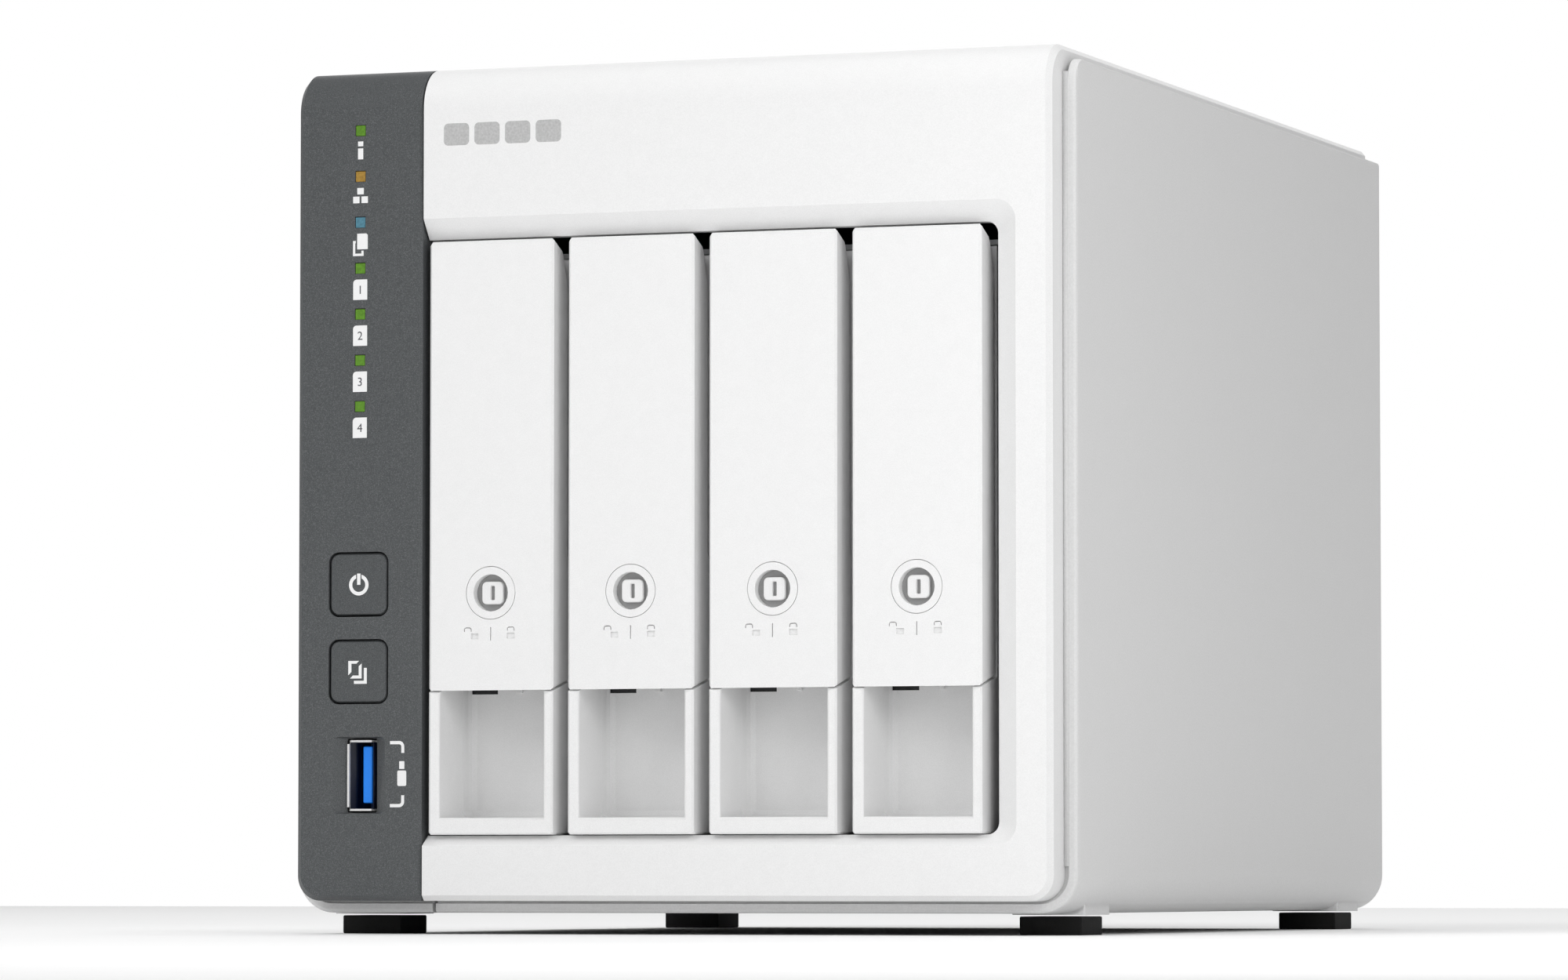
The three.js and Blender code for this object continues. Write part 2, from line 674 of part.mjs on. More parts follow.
function addSataSocket(name, x) {
  const centre = x + SATA.offset;
  const half = SATA.thickness / 2;
  const back = BACKPLANE.depth[0] - GAP;
  const socket = block([centre - half, centre + half], [SATA.front, back], [SATA.bottom, SATA.top]);
  const keyDepth = [SATA.front - 1, SATA.front + 4.5];
  const key = block([centre - 0.7, centre + 0.7], keyDepth, [SATA.bottom + 2, SATA.top - 2]);
  addPart(name, cut(socket, key), COLOR.black, 0.5);
}

function addBays() {
  for (let bay = 0; bay < BAYS; bay++) {
    const x = bayCentre(bay);
    const number = bay + 1;
    addTray(`tray_${number}`, x);
    addLatch(`tray_latch_${number}`, x);
    addLock(`latch_lock_${number}`, x);
    addLatchPin(`latch_pin_${number}`, x);
    addDrive(`drive_${number}`, x);
    addSataSocket(`sata_socket_${number}`, x);
  }
}

// ---- Cage and backplane ------------------------------------------------------------------------------
function addCage() {
  const depth = [CAGE.front, CAGE.back];
  const height = [CAGE.bottom, CAGE.top];
  addPart("cage_left_wall", block([CAGE.left, CAGE.left + CAGE.wall], depth, height), COLOR.steel, 0.4, 1);
  addPart("cage_right_wall", block([CAGE.right - CAGE.wall, CAGE.right], depth, height), COLOR.steel, 0.4, 1);
  const across = [CAGE.left + CAGE.wall + GAP, CAGE.right - CAGE.wall - GAP];
  const between = Array.from({ length: BAYS - 1 }, (_, bay) => bayCentre(bay) + BAY_PITCH / 2);
  const ribs = (z) => between.map((x) => block([x - RIB.half, x + RIB.half], depth, z));
  const floor = block(across, depth, [CAGE.bottom, CAGE.bottom + CAGE.wall]);
  const roof = block(across, depth, [CAGE.top - CAGE.wall, CAGE.top]);
  const floorTop = CAGE.bottom + CAGE.wall;
  const roofBottom = CAGE.top - CAGE.wall;
  addPart("cage_floor", join(floor, ...ribs([floorTop - 0.1, floorTop + RIB.height])), COLOR.steel, 0.4, 1);
  addPart("cage_roof", join(roof, ...ribs([roofBottom - RIB.height, roofBottom + 0.1])), COLOR.steel, 0.4, 1);
  const backplane = block([BOARD.right + GAP, CAGE.right - 2], BACKPLANE.depth, BACKPLANE.height);
  addPart("backplane", backplane, COLOR.board, 0.5);
}

// ---- Mainboard and ports -------------------------------------------------------------------------------
function addMainboard() {
  const board = block([BOARD.left, BOARD.right], [BOARD.front, BOARD.back], [BOARD.bottom, BOARD.top]);
  addPart("mainboard", board, COLOR.board, 0.5);
  addPart("processor", block([PORT_BASE - CHIP.thickness, PORT_BASE], CHIP.y, CHIP.z), COLOR.black, 0.4);
  const sinkRight = PORT_BASE - CHIP.thickness - GAP;
  const base = block([sinkRight - SINK.base, sinkRight], SINK.y, SINK.z);
  const pitch = (SINK.z[1] - SINK.z[0] - SINK.fin) / (SINK.fins - 1);
  const fins = Array.from({ length: SINK.fins }, (_, i) => {
    const z = SINK.z[0] + i * pitch;
    return block([SINK.top, sinkRight - SINK.base + 0.1], SINK.y, [z, z + SINK.fin]);
  });
  addPart("heatsink", join(base, ...fins), COLOR.aluminium, 0.35, 0.9);
}

// The outside of each rear port as seen on the panel: [left, right] by [low, high].
const lanOutline = (z) => [[PORT_BASE - 13.5, PORT_BASE], [z - 8, z + 8]];
const usbOutline = [[PORT_BASE - 15.4, PORT_BASE], [REAR_USB_Z - 6.9, REAR_USB_Z + 6.9]];
const dcOutline = [[PORT_BASE - 11, PORT_BASE], [DC_Z - 4.8, DC_Z + 4.8]];

function addLanPort(name, z) {
  const [across, height] = lanOutline(z);
  const length = 21;
  const mouth = [across[0] + 1.6, across[0] + 9.4];
  const mouthDepth = [PORT_END - 12, PORT_END + 1];
  const keyway = [mouth[1] - 0.1, mouth[1] + 1.6];
  const port = cut(
    block(across, [PORT_END - length, PORT_END], height),
    block(mouth, mouthDepth, [z - 5.9, z + 5.9]),
    block(keyway, mouthDepth, [z - 3, z + 3]),
  );
  addPart(name, port, COLOR.steel, 0.3, 1);
}

function addRearUsb() {
  const [across, height] = usbOutline;
  const length = 16;
  const wall = 0.6;
  const edge = 1;
  const bay = { width: 5.1, depth: 10 };
  const bayFront = PORT_END - bay.depth;
  let stack = block(across, [PORT_END - length, PORT_END], height);
  for (const left of [across[0] + edge, across[1] - edge - bay.width]) {
    const mouth = block(
      [left, left + bay.width],
      [bayFront, PORT_END + 1],
      [height[0] + wall, height[1] - wall],
    );
    const tongue = block(
      [left + 0.7, left + 2.5],
      [bayFront - 1, PORT_END - 1.2],
      [height[0] + edge + wall, height[1] - edge - wall],
    );
    stack = join(cut(stack, mouth), tongue);
  }
  addPart("rear_usb_ports", stack, COLOR.steel, 0.3, 1);
}

function addPowerInlet() {
  const [across, height] = dcOutline;
  const length = 14;
  const centre = (across[0] + across[1]) / 2 - 0.4;
  const boreFront = PORT_END - 10;
  const inlet = join(
    cut(
      block(across, [PORT_END - length, PORT_END], height),
      cylinderY(centre, DC_Z, 3.3, [boreFront, PORT_END + 1], 20),
    ),
    cylinderY(centre, DC_Z, 1.0, [boreFront - 1, PORT_END - 1], 12),
  );
  addPart("power_inlet", inlet, COLOR.black, 0.5);
}

function addResetButton() {
  const collarBack = 213.2;
  const button = join(
    cylinderY(RESET.x, RESET.z, RESET.radius, [collarBack - 0.2, PORT_END - 0.8], 12),
    cylinderY(RESET.x, RESET.z, 2 * RESET.radius, [collarBack - 1.2, collarBack], 16),
  );
  addPart("reset_button", button, COLOR.black, 0.5);
}

// ---- Rear panel and fan -----------------------------------------------------------------------------------
function addRearPanel() {
  const half = WIDTH / 2 - CASE_WALL - GAP;
  const corner = CASE_CORNER - CASE_WALL;
  const outline = roundedRectangle(
    [-half, half],
    [CASE_BOTTOM + CASE_WALL + GAP, HEIGHT - SHELL_WALL - GAP],
    [corner, corner, 0, 0],
  );
  const through = [REAR_PANEL[0] - 1, REAR_PANEL[1] + 1];
  const ports = [...LAN_HEIGHTS.map(lanOutline), usbOutline, dcOutline];
  const portHoles = ports.map(([across, height]) =>
    block([across[0] - GAP, across[1] + GAP], through, [height[0] - GAP, height[1] + GAP]),
  );
  const panel = cut(
    prismY(outline, REAR_PANEL, { arc: 6 }),
    cylinderY(FAN.x, FAN.z, FAN.bore - 1, through, 40),
    cylinderY(RESET.x, RESET.z, RESET.radius + 0.4, through, 12),
    ...REAR_SCREWS.map(([x, z]) => cylinderY(x, z, 1.9, through, 12)),
    ...portHoles,
  );
  addPart("rear_panel", panel, COLOR.caseGrey, 0.45, 0.5);
  REAR_SCREWS.forEach(([x, z], i) => {
    const screw = join(
      cylinderY(x, z, 3, [REAR_PANEL[1] + GAP, REAR_PANEL[1] + 1.7], 16),
      cylinderY(x, z, 1.5, [REAR_PANEL[0] - 3, REAR_PANEL[1] + 0.5], 12),
    );
    addPart(`rear_screw_${i + 1}`, screw, COLOR.steel, 0.3, 1);
  });
}

function addFan() {
  const half = FAN.size / 2;
  const outline = roundedRectangle([FAN.x - half, FAN.x + half], [FAN.z - half, FAN.z + half], 6);
  const motorFront = FAN.back - FAN.motor;
  let frame = cut(
    prismY(outline, [FAN.front, FAN.back], { arc: 3 }),
    cylinderY(FAN.x, FAN.z, FAN.bore, [FAN.front - 1, FAN.back + 1], 40),
  );
  frame = join(frame, cylinderY(FAN.x, FAN.z, FAN.hub + 1, [motorFront, FAN.back], 24));
  const struts = 4;
  const [reach, thickness] = [44, 3];
  for (let i = 0; i < struts; i++) {
    const strut = new THREE.BoxGeometry(reach, thickness, 3.2);
    strut.translate(FAN.hub + reach / 2 - 2, 0, 0);
    strut.rotateY((i * 2 * Math.PI) / struts + 0.5);
    strut.translate(FAN.x, FAN.back - thickness / 2, FAN.z);
    frame = join(frame, solid(strut));
  }
  addPart("fan_frame", frame, COLOR.black, 0.6);

  const hubFace = FAN.front + 2;
  const hubBack = motorFront - 1;
  let rotor = cylinderY(FAN.x, FAN.z, FAN.hub, [hubFace, hubBack], 24);
  const root = FAN.hub - 2;
  for (let i = 0; i < BLADES.count; i++) {
    const blade = new THREE.BoxGeometry(BLADES.tip - root, BLADES.thickness, BLADES.chord);
    blade.rotateX(BLADES.pitch);
    blade.translate((BLADES.tip + root) / 2, 0, 0);
    blade.rotateY((i * 2 * Math.PI) / BLADES.count);
    blade.translate(FAN.x, (hubFace + hubBack) / 2, FAN.z);
    rotor = join(rotor, solid(blade));
  }
  addPart("fan_rotor", rotor, COLOR.black, 0.5);
}

// A stamped steel finger guard: rings joined by three bars across it.
function addFanGuard() {
  const outerRadius = FAN.bore + 1.5;
  const ring = (radius, width) =>
    cut(
      cylinderY(FAN.x, FAN.z, radius, GUARD),
      cylinderY(FAN.x, FAN.z, radius - width, [GUARD[0] - 1, GUARD[1] + 1]),
    );
  const rings = Array.from({ length: RINGS.count }, (_, i) =>
    ring(outerRadius - i * RINGS.pitch, i ? RINGS.width : RINGS.outerWidth),
  );
  const centre = cylinderY(FAN.x, FAN.z, RINGS.centre, GUARD);
  const bars = 3;
  const spokes = Array.from({ length: bars }, (_, i) => {
    const spoke = new THREE.BoxGeometry(2 * outerRadius - 4, GUARD[1] - GUARD[0], RINGS.width);
    spoke.rotateY((i * Math.PI) / bars);
    return solid(spoke.translate(FAN.x, (GUARD[0] + GUARD[1]) / 2, FAN.z));
  });
  addPart("fan_guard", join(centre, ...rings, ...spokes), COLOR.steel, 0.4, 1);
}

// ---- Assembly ----------------------------------------------------------------------------------
const shell = shellBody();
addCase();
addFeet();
addFrontBezel(shell);
addControlPanel(shell);
addLightPipe();
addSwitch("power_switch", POWER_Z, addButton("power_button", POWER_Z));
addSwitch("copy_switch", COPY_Z, addButton("copy_button", COPY_Z));
addFrontUsb();
addBays();
addCage();
addMainboard();
addLanPort("lan_port_upper", LAN_HEIGHTS[0]);
addLanPort("lan_port_lower", LAN_HEIGHTS[1]);
addRearUsb();
addPowerInlet();
addResetButton();
addRearPanel();
addFan();
addFanGuard();

export default box;
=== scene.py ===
# The looks of a four-bay desktop network storage box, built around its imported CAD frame.
# Lengths in the code are millimetres with Y counted from the front plane, as on a drawing of the box;
# place() turns them into metres in the frame.
import json
import math

import bmesh
import bpy
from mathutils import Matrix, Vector


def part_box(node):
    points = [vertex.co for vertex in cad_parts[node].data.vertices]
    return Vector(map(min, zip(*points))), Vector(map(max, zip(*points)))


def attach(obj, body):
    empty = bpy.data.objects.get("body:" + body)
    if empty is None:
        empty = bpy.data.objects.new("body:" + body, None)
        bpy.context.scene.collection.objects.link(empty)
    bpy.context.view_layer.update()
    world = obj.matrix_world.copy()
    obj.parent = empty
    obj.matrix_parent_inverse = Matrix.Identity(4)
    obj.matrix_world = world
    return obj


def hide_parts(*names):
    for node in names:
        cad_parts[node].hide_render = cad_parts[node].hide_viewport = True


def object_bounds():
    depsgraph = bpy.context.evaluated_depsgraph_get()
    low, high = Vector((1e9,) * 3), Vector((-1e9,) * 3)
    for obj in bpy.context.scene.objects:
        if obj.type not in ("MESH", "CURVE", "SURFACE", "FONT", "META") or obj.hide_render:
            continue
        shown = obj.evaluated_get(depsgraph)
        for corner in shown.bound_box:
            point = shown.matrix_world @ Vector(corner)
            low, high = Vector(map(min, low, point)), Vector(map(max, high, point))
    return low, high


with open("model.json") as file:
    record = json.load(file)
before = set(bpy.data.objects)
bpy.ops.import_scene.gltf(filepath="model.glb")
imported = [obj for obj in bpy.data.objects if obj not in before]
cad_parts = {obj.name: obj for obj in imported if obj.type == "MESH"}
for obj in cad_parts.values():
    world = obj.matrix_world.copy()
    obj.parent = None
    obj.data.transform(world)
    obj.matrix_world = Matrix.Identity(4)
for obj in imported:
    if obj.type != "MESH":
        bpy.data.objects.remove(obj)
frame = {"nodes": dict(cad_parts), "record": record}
cad_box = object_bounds()

MM = 0.001
FRONT = cad_box[0][1] / MM  # the front plane of the box in the frame
HOUSING = "housing"
BAYS = (1, 2, 3, 4)
REAR_SCREWS = (1, 2, 3, 4)
SAME_POINT = 1e-6  # corners closer than this, in metres, are one corner
FLAT_JOIN = 2e-6  # the same, for the shapes that come from the CAD
SHARP_EDGE = 40  # degrees between two faces
CREASE = 24  # degrees: flatter edges of a finished piece are shaded round


def place(x, y, z):
    """A point given from the front plane in millimetres, in the frame's metres."""
    return Vector((x * MM, (y + FRONT) * MM, z * MM))


def node_box(node):
    """Lowest and highest corner of a CAD node, in millimetres from the front plane."""
    low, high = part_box(node)
    return (
        Vector((low[0] / MM, low[1] / MM - FRONT, low[2] / MM)),
        Vector((high[0] / MM, high[1] / MM - FRONT, high[2] / MM)),
    )


# ---- Materials ---------------------------------------------------------------------------------
def new_material(name):
    material = bpy.data.materials.new(name)
    material.use_nodes = True
    tree = material.node_tree
    shader = tree.nodes["Principled BSDF"]
    return material, tree, shader


def object_noise(tree, scale, detail, stretch=(1, 1, 1)):
    """Noise in the piece's own coordinates, with its size in cycles per metre."""
    coordinates = tree.nodes.new("ShaderNodeTexCoord")
    mapping = tree.nodes.new("ShaderNodeMapping")
    mapping.inputs["Scale"].default_value = stretch
    noise = tree.nodes.new("ShaderNodeTexNoise")
    noise.inputs["Scale"].default_value = scale
    noise.inputs["Detail"].default_value = detail
    tree.links.new(coordinates.outputs["Object"], mapping.inputs["Vector"])
    tree.links.new(mapping.outputs["Vector"], noise.inputs["Vector"])
    return noise.outputs["Fac"]


def ramp(tree, factor, low, high, dark, light):
    """Colours from dark to light as the factor goes from low to high."""
    node = tree.nodes.new("ShaderNodeValToRGB")
    node.color_ramp.elements[0].position = low
    node.color_ramp.elements[1].position = high
    node.color_ramp.elements[0].color = (*dark, 1)
    node.color_ramp.elements[1].color = (*light, 1)
    tree.links.new(factor, node.inputs["Fac"])
    return node.outputs["Color"]


def map_range(tree, factor, low, high):
    node = tree.nodes.new("ShaderNodeMapRange")
    node.inputs["To Min"].default_value = low
    node.inputs["To Max"].default_value = high
    tree.links.new(factor, node.inputs["Value"])
    return node.outputs["Result"]


def mix_color(tree, factor, first, second, blend="MIX"):
    """Blends two colours; the numbers are the colour sockets of the mix node."""
    factor_in, first_in, second_in, result_out = 0, 6, 7, 2
    node = tree.nodes.new("ShaderNodeMix")
    node.data_type = "RGBA"
    node.blend_type = blend
    for socket, value in ((factor_in, factor), (first_in, first), (second_in, second)):
        if isinstance(value, (int, float)):
            node.inputs[socket].default_value = value
        elif isinstance(value, tuple):
            node.inputs[socket].default_value = (*value, 1)
        else:
            tree.links.new(value, node.inputs[socket])
    return node.outputs[result_out]


def bump(tree, height, strength, distance):
    node = tree.nodes.new("ShaderNodeBump")
    node.inputs["Strength"].default_value = strength
    node.inputs["Distance"].default_value = distance
    tree.links.new(height, node.inputs["Height"])
    return node.outputs["Normal"]


def scaled(color, amount):
    return tuple(min(1.0, channel * amount) for channel in color)


def moulded(name, color, roughness=0.42, grain=5200, grain_depth=0.03, contrast=0.035, metallic=0.0):
    """Moulded plastic or powder coat: fine grain, faint mottling and slightly uneven gloss."""
    material, tree, shader = new_material(name)
    fine = object_noise(tree, grain, 2.0)
    broad = object_noise(tree, 420, 4.0)
    tint = ramp(tree, fine, 0.3, 0.7, scaled(color, 1 - contrast), scaled(color, 1 + contrast))
    cloud = ramp(tree, broad, 0.3, 0.7, (0.985, 0.985, 0.985), (1, 1, 1))
    tree.links.new(mix_color(tree, 1.0, tint, cloud, "MULTIPLY"), shader.inputs["Base Color"])
    tree.links.new(map_range(tree, broad, roughness - 0.05, roughness + 0.05), shader.inputs["Roughness"])
    tree.links.new(bump(tree, fine, 0.25, grain_depth * MM), shader.inputs["Normal"])
    shader.inputs["Metallic"].default_value = metallic
    return material


def flecked_panel(name, color, fleck, roughness=0.4):
    """Dark plastic with a fine metallic fleck."""
    material, tree, shader = new_material(name)
    fine = object_noise(tree, 7000, 1.0)
    coarse = object_noise(tree, 2600, 2.0)
    base = ramp(tree, coarse, 0.35, 0.65, scaled(color, 0.92), scaled(color, 1.08))
    spark = ramp(tree, fine, 0.5, 0.7, (0, 0, 0), (1, 1, 1))
    tree.links.new(mix_color(tree, spark, base, fleck), shader.inputs["Base Color"])
    tree.links.new(map_range(tree, coarse, roughness - 0.06, roughness + 0.06), shader.inputs["Roughness"])
    tree.links.new(bump(tree, fine, 0.3, 0.02 * MM), shader.inputs["Normal"])
    shader.inputs["Metallic"].default_value = 0.15
    return material


def metal(name, color, roughness, scale=900):
    """Sheet or cast metal with mottled marks."""
    material, tree, shader = new_material(name)
    marks = object_noise(tree, scale, 4.0)
    tint = ramp(tree, marks, 0.25, 0.75, scaled(color, 0.86), scaled(color, 1.08))
    tree.links.new(tint, shader.inputs["Base Color"])
    tree.links.new(map_range(tree, marks, roughness - 0.08, roughness + 0.1), shader.inputs["Roughness"])
    tree.links.new(bump(tree, marks, 0.12, 0.02 * MM), shader.inputs["Normal"])
    shader.inputs["Metallic"].default_value = 1.0
    return material


def lamp(name, color, glow):
    """A small lit window in frosted plastic, slightly mottled."""
    material, tree, shader = new_material(name)
    mottle = object_noise(tree, 2600, 3.0)
    tint = ramp(tree, mottle, 0.3, 0.7, scaled(color, 0.8), scaled(color, 1.2))
    tree.links.new(tint, shader.inputs["Base Color"])
    tree.links.new(tint, shader.inputs["Emission Color"])
    shader.inputs["Emission Strength"].default_value = glow
    shader.inputs["Roughness"].default_value = 0.35
    return material


def circuit_board(name):
    """Green solder mask over faint copper tracks."""
    material, tree, shader = new_material(name)
    tracks = object_noise(tree, 700, 1.0, (1, 0.12, 1))
    tint = ramp(tree, tracks, 0.47, 0.53, (0.012, 0.055, 0.03), (0.02, 0.105, 0.055))
    tree.links.new(tint, shader.inputs["Base Color"])
    tree.links.new(bump(tree, tracks, 0.3, 0.04 * MM), shader.inputs["Normal"])
    shader.inputs["Roughness"].default_value = 0.32
    return material


WHITE = moulded("white_plastic", (0.86, 0.86, 0.86), 0.4)
LATCH_WHITE = moulded("latch_white_plastic", (0.87, 0.87, 0.87), 0.42)
CASE_GREY = moulded("case_powder_coat", (0.74, 0.74, 0.74), 0.48, grain=3000, grain_depth=0.05)
PANEL_GREY = flecked_panel("panel_dark_grey", (0.08, 0.086, 0.089), (0.15, 0.155, 0.16))
BUTTON_GREY = flecked_panel("button_dark_grey", (0.076, 0.082, 0.085), (0.14, 0.145, 0.15), 0.36)
RUBBER = moulded("black_rubber", (0.005, 0.005, 0.005), 0.85, grain=2600, grain_depth=0.1, contrast=0.2)
BLACK = moulded("black_plastic", (0.012, 0.012, 0.013), 0.5, grain=2600, contrast=0.15)
STEEL = metal("plated_steel", (0.55, 0.56, 0.57), 0.32)
# Plated steel for the front socket with a near-white colour, well above the other steel: the extra
# lightness is painted reflection.
SOCKET_STEEL_PAINTED_REFLECTION = moulded("socket_steel_painted_reflection", (0.93, 0.93, 0.93), 0.25, contrast=0.06, metallic=0.35)
ALUMINIUM = metal("cast_aluminium", (0.5, 0.51, 0.52), 0.42, scale=1600)
BOARD = circuit_board("circuit_board")
BLUE = moulded("blue_plastic", (0.012, 0.24, 0.92), 0.35, contrast=0.05)
CLEAR = moulded("frosted_light_pipe", (0.6, 0.64, 0.6), 0.25, contrast=0.05)
PRINT_WHITE = moulded("white_print", (0.9, 0.9, 0.9), 0.5, contrast=0.02)
PRINT_GREY = moulded("grey_print", (0.5, 0.5, 0.5), 0.3, grain=2200, contrast=0.12)
PRINT_DARK = moulded("dark_print", (0.09, 0.09, 0.1), 0.5, contrast=0.05)
LAMP_GREEN = lamp("lamp_green", (0.085, 0.21, 0.015), 0.2)
LAMP_AMBER = lamp("lamp_amber", (0.29, 0.17, 0.03), 0.2)
LAMP_BLUE = lamp("lamp_blue", (0.065, 0.18, 0.24), 0.2)
LOCK_GREY = moulded("lock_plastic", (0.34, 0.34, 0.34), 0.45)
# Near-black blue used as painted shade inside the front socket.
PAINTED_SHADE_BLUE = moulded("painted_shade_blue", (0.001, 0.004, 0.02), 0.4)
LABEL = moulded("drive_label", (0.8, 0.8, 0.79), 0.5, contrast=0.02)
GOLD = metal("contact_gold", (0.8, 0.58, 0.25), 0.25)


# ---- Pieces ------------------------------------------------------------------------------------
def show(mesh, name, material, body):
    """Puts a finished mesh in the scene as a piece on a body."""
    mesh.materials.clear()
    mesh.materials.append(material)
    piece = bpy.data.objects.new(name, mesh)
    bpy.context.scene.collection.objects.link(piece)
    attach(piece, body)
    return piece


def apply_modifiers(piece):
    """Turns a piece's modifiers into its mesh."""
    bpy.context.view_layer.update()
    evaluated = piece.evaluated_get(bpy.context.evaluated_depsgraph_get())
    finished = bpy.data.meshes.new_from_object(evaluated)
    piece.modifiers.clear()
    piece.data = finished


def body_of(node):
    for body, nodes in frame["record"]["behaviour"]["bodies"].items():
        if node in nodes:
            return body


def make_flats_whole(mesh):
    """Joins the triangles of every flat face."""
    made = bmesh.new()
    made.from_mesh(mesh)
    bmesh.ops.remove_doubles(made, verts=made.verts, dist=FLAT_JOIN)
    bmesh.ops.dissolve_limit(made, angle_limit=math.radians(0.5), verts=made.verts, edges=made.edges)
    made.to_mesh(mesh)
    made.free()


def cleaned_copy(node):
    mesh = frame["nodes"][node].data.copy()
    make_flats_whole(mesh)
    return mesh


def smooth(piece, angle):
    """Rounds the shading of shallow edges and keeps sharp ones."""
    for face in piece.data.polygons:
        face.use_smooth = True
    piece.data.set_sharp_from_angle(angle=math.radians(angle))
    weighted = piece.modifiers.new("weighted_normals", "WEIGHTED_NORMAL")
    weighted.keep_sharp = True
    apply_modifiers(piece)


def cut_with(piece, cutters):
    """Cuts closed shapes out of a piece and throws the shapes away."""
    for tool in cutters:
        boolean = piece.modifiers.new("cut", "BOOLEAN")
        boolean.operation = "DIFFERENCE"
        boolean.solver = "EXACT"
        boolean.object = tool
    apply_modifiers(piece)
    for tool in cutters:
        bpy.data.objects.remove(tool, do_unlink=True)


def round_edges(piece, radius, chosen, clamp):
    """Rounds the chosen edges; the radius is in millimetres."""
    made = bmesh.new()
    made.from_mesh(piece.data)
    edges = [edge for edge in made.edges if chosen(edge)]
    bmesh.ops.bevel(
        made, geom=edges, offset=radius * MM, segments=4, profile=0.5,
        affect="EDGES", clamp_overlap=clamp,
    )
    made.to_mesh(piece.data)
    made.free()


def sharp_edge(edge):
    return edge.calc_face_angle(0) > math.radians(SHARP_EDGE)


def refined(node, material, round_mm=0, chosen=sharp_edge, cutters=(), shaping=()):
    """A finished piece for a CAD node: shaping cuts, then rounded edges, then fine cuts."""
    piece = show(cleaned_copy(node), node + "_skin", material, body_of(node))
    if shaping:
        cut_with(piece, list(shaping))
        make_flats_whole(piece.data)
    if round_mm:
        round_edges(piece, round_mm, chosen, clamp=not shaping)
    if cutters:
        cut_with(piece, list(cutters))
    smooth(piece, CREASE)
    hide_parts(node)
    return piece


# ---- Flat outlines and the plates made from them --------------------------------------------------
def arc(x, z, radius, start, end, steps=12):
    """Points of an arc, with its angles in degrees."""
    angles = [math.radians(start + (end - start) * i / steps) for i in range(steps + 1)]
    return [(x + radius * math.cos(a), z + radius * math.sin(a)) for a in angles]


def circle(x, z, radius, steps=48):
    return arc(x, z, radius, 0, 360, steps)[:-1]


def rectangle(x0, x1, z0, z1, radius=0.0):
    """Corner points of a rectangle, rounded if a radius is given."""
    if not radius:
        return [(x0, z0), (x1, z0), (x1, z1), (x0, z1)]
    low_x, high_x, low_z, high_z = x0 + radius, x1 - radius, z0 + radius, z1 - radius
    steps = 5  # on each rounded corner
    centres = ((high_x, low_z), (high_x, high_z), (low_x, high_z), (low_x, low_z))
    points = []
    for quarter, (x, z) in enumerate(centres):
        points += arc(x, z, radius, 90 * quarter - 90, 90 * quarter, steps)
    return points


def square(x, z, half, radius=0.0):
    return rectangle(x - half, x + half, z - half, z + half, radius)


def moved(points, x, z):
    return [(u + x, v + z) for u, v in points]


def stroke(points, width):
    """The outline of a line of the given width with square ends through the points."""
    left, right = [], []
    last = len(points) - 1
    for i, point in enumerate(points):
        here = Vector(point)
        ahead = (Vector(points[min(i + 1, last)]) - here).normalized()
        behind = (here - Vector(points[max(i - 1, 0)])).normalized()
        if i == last:
            ahead = behind
        if i == 0:
            behind = ahead
        middle = (ahead + behind).normalized()
        reach = width / 2 / max(0.5, middle.dot(ahead))
        normal = Vector((-middle.y, middle.x)) * reach
        left.append(tuple(here + normal))
        right.append(tuple(here - normal))
    return left + right[::-1]


def new_curve(kind, low, high, bevel=0.0):
    """A flat curve that is filled and given the thickness from low to high."""
    curve = bpy.data.curves.new("outline", kind)
    curve.dimensions = "2D"
    curve.fill_mode = "BOTH"
    curve.extrude = ((high - low) / 2 - bevel) * MM
    curve.bevel_depth = bevel * MM
    curve.bevel_resolution = 1
    curve.offset = -bevel * MM
    return curve


def curve_mesh(curve, low, high, axis="Y"):
    """Makes a closed mesh of a flat curve, stood up across Y or across X."""
    carrier = bpy.data.objects.new("outline", curve)
    bpy.context.scene.collection.objects.link(carrier)
    bpy.context.view_layer.update()
    evaluated = carrier.evaluated_get(bpy.context.evaluated_depsgraph_get())
    mesh = bpy.data.meshes.new_from_object(evaluated)
    bpy.data.objects.remove(carrier, do_unlink=True)
    middle = (low + high) / 2 * MM
    for vertex in mesh.vertices:
        u, v, depth = vertex.co
        if axis == "Y":
            vertex.co = (u, middle + FRONT * MM - depth, v)
        else:
            vertex.co = (middle + depth, u + FRONT * MM, v)
    weld(mesh)
    return mesh


def plate_mesh(outlines, low, high, bevel=0.0, axis="Y"):
    """A closed plate through (x, z) or (y, z) outlines; an outline inside another is a hole."""
    curve = new_curve("CURVE", low, high, bevel)
    for outline in outlines:
        spline = curve.splines.new("POLY")
        spline.points.add(len(outline) - 1)
        for point, (u, v) in zip(spline.points, outline):
            point.co = (u * MM, v * MM, 0, 1)
        spline.use_cyclic_u = True
    return curve_mesh(curve, low, high, axis)


def digit_mesh(digit, x, z, height, low, high):
    """A plain numeral as a thin plate, centred on a point."""
    numeral_part = 0.7  # of the type size, for the height of a numeral
    curve = new_curve("FONT", low, high)
    curve.body = str(digit)
    curve.size = height / numeral_part * MM
    curve.align_x = "CENTER"
    mesh = curve_mesh(curve, low, high)
    for vertex in mesh.vertices:
        vertex.co.x += x * MM
        vertex.co.z += (z - height / 2) * MM
    return mesh


def close_seams(made):
    """Merges corners that touch and turns every face outwards."""
    bmesh.ops.remove_doubles(made, verts=made.verts, dist=SAME_POINT)
    bmesh.ops.recalc_face_normals(made, faces=made.faces)


def weld(mesh):
    made = bmesh.new()
    made.from_mesh(mesh)
    close_seams(made)
    made.to_mesh(mesh)
    made.free()


def plate(name, outlines, low, high, material, body, bevel=0.0, axis="Y"):
    return show(plate_mesh(outlines, low, high, bevel, axis), name, material, body)


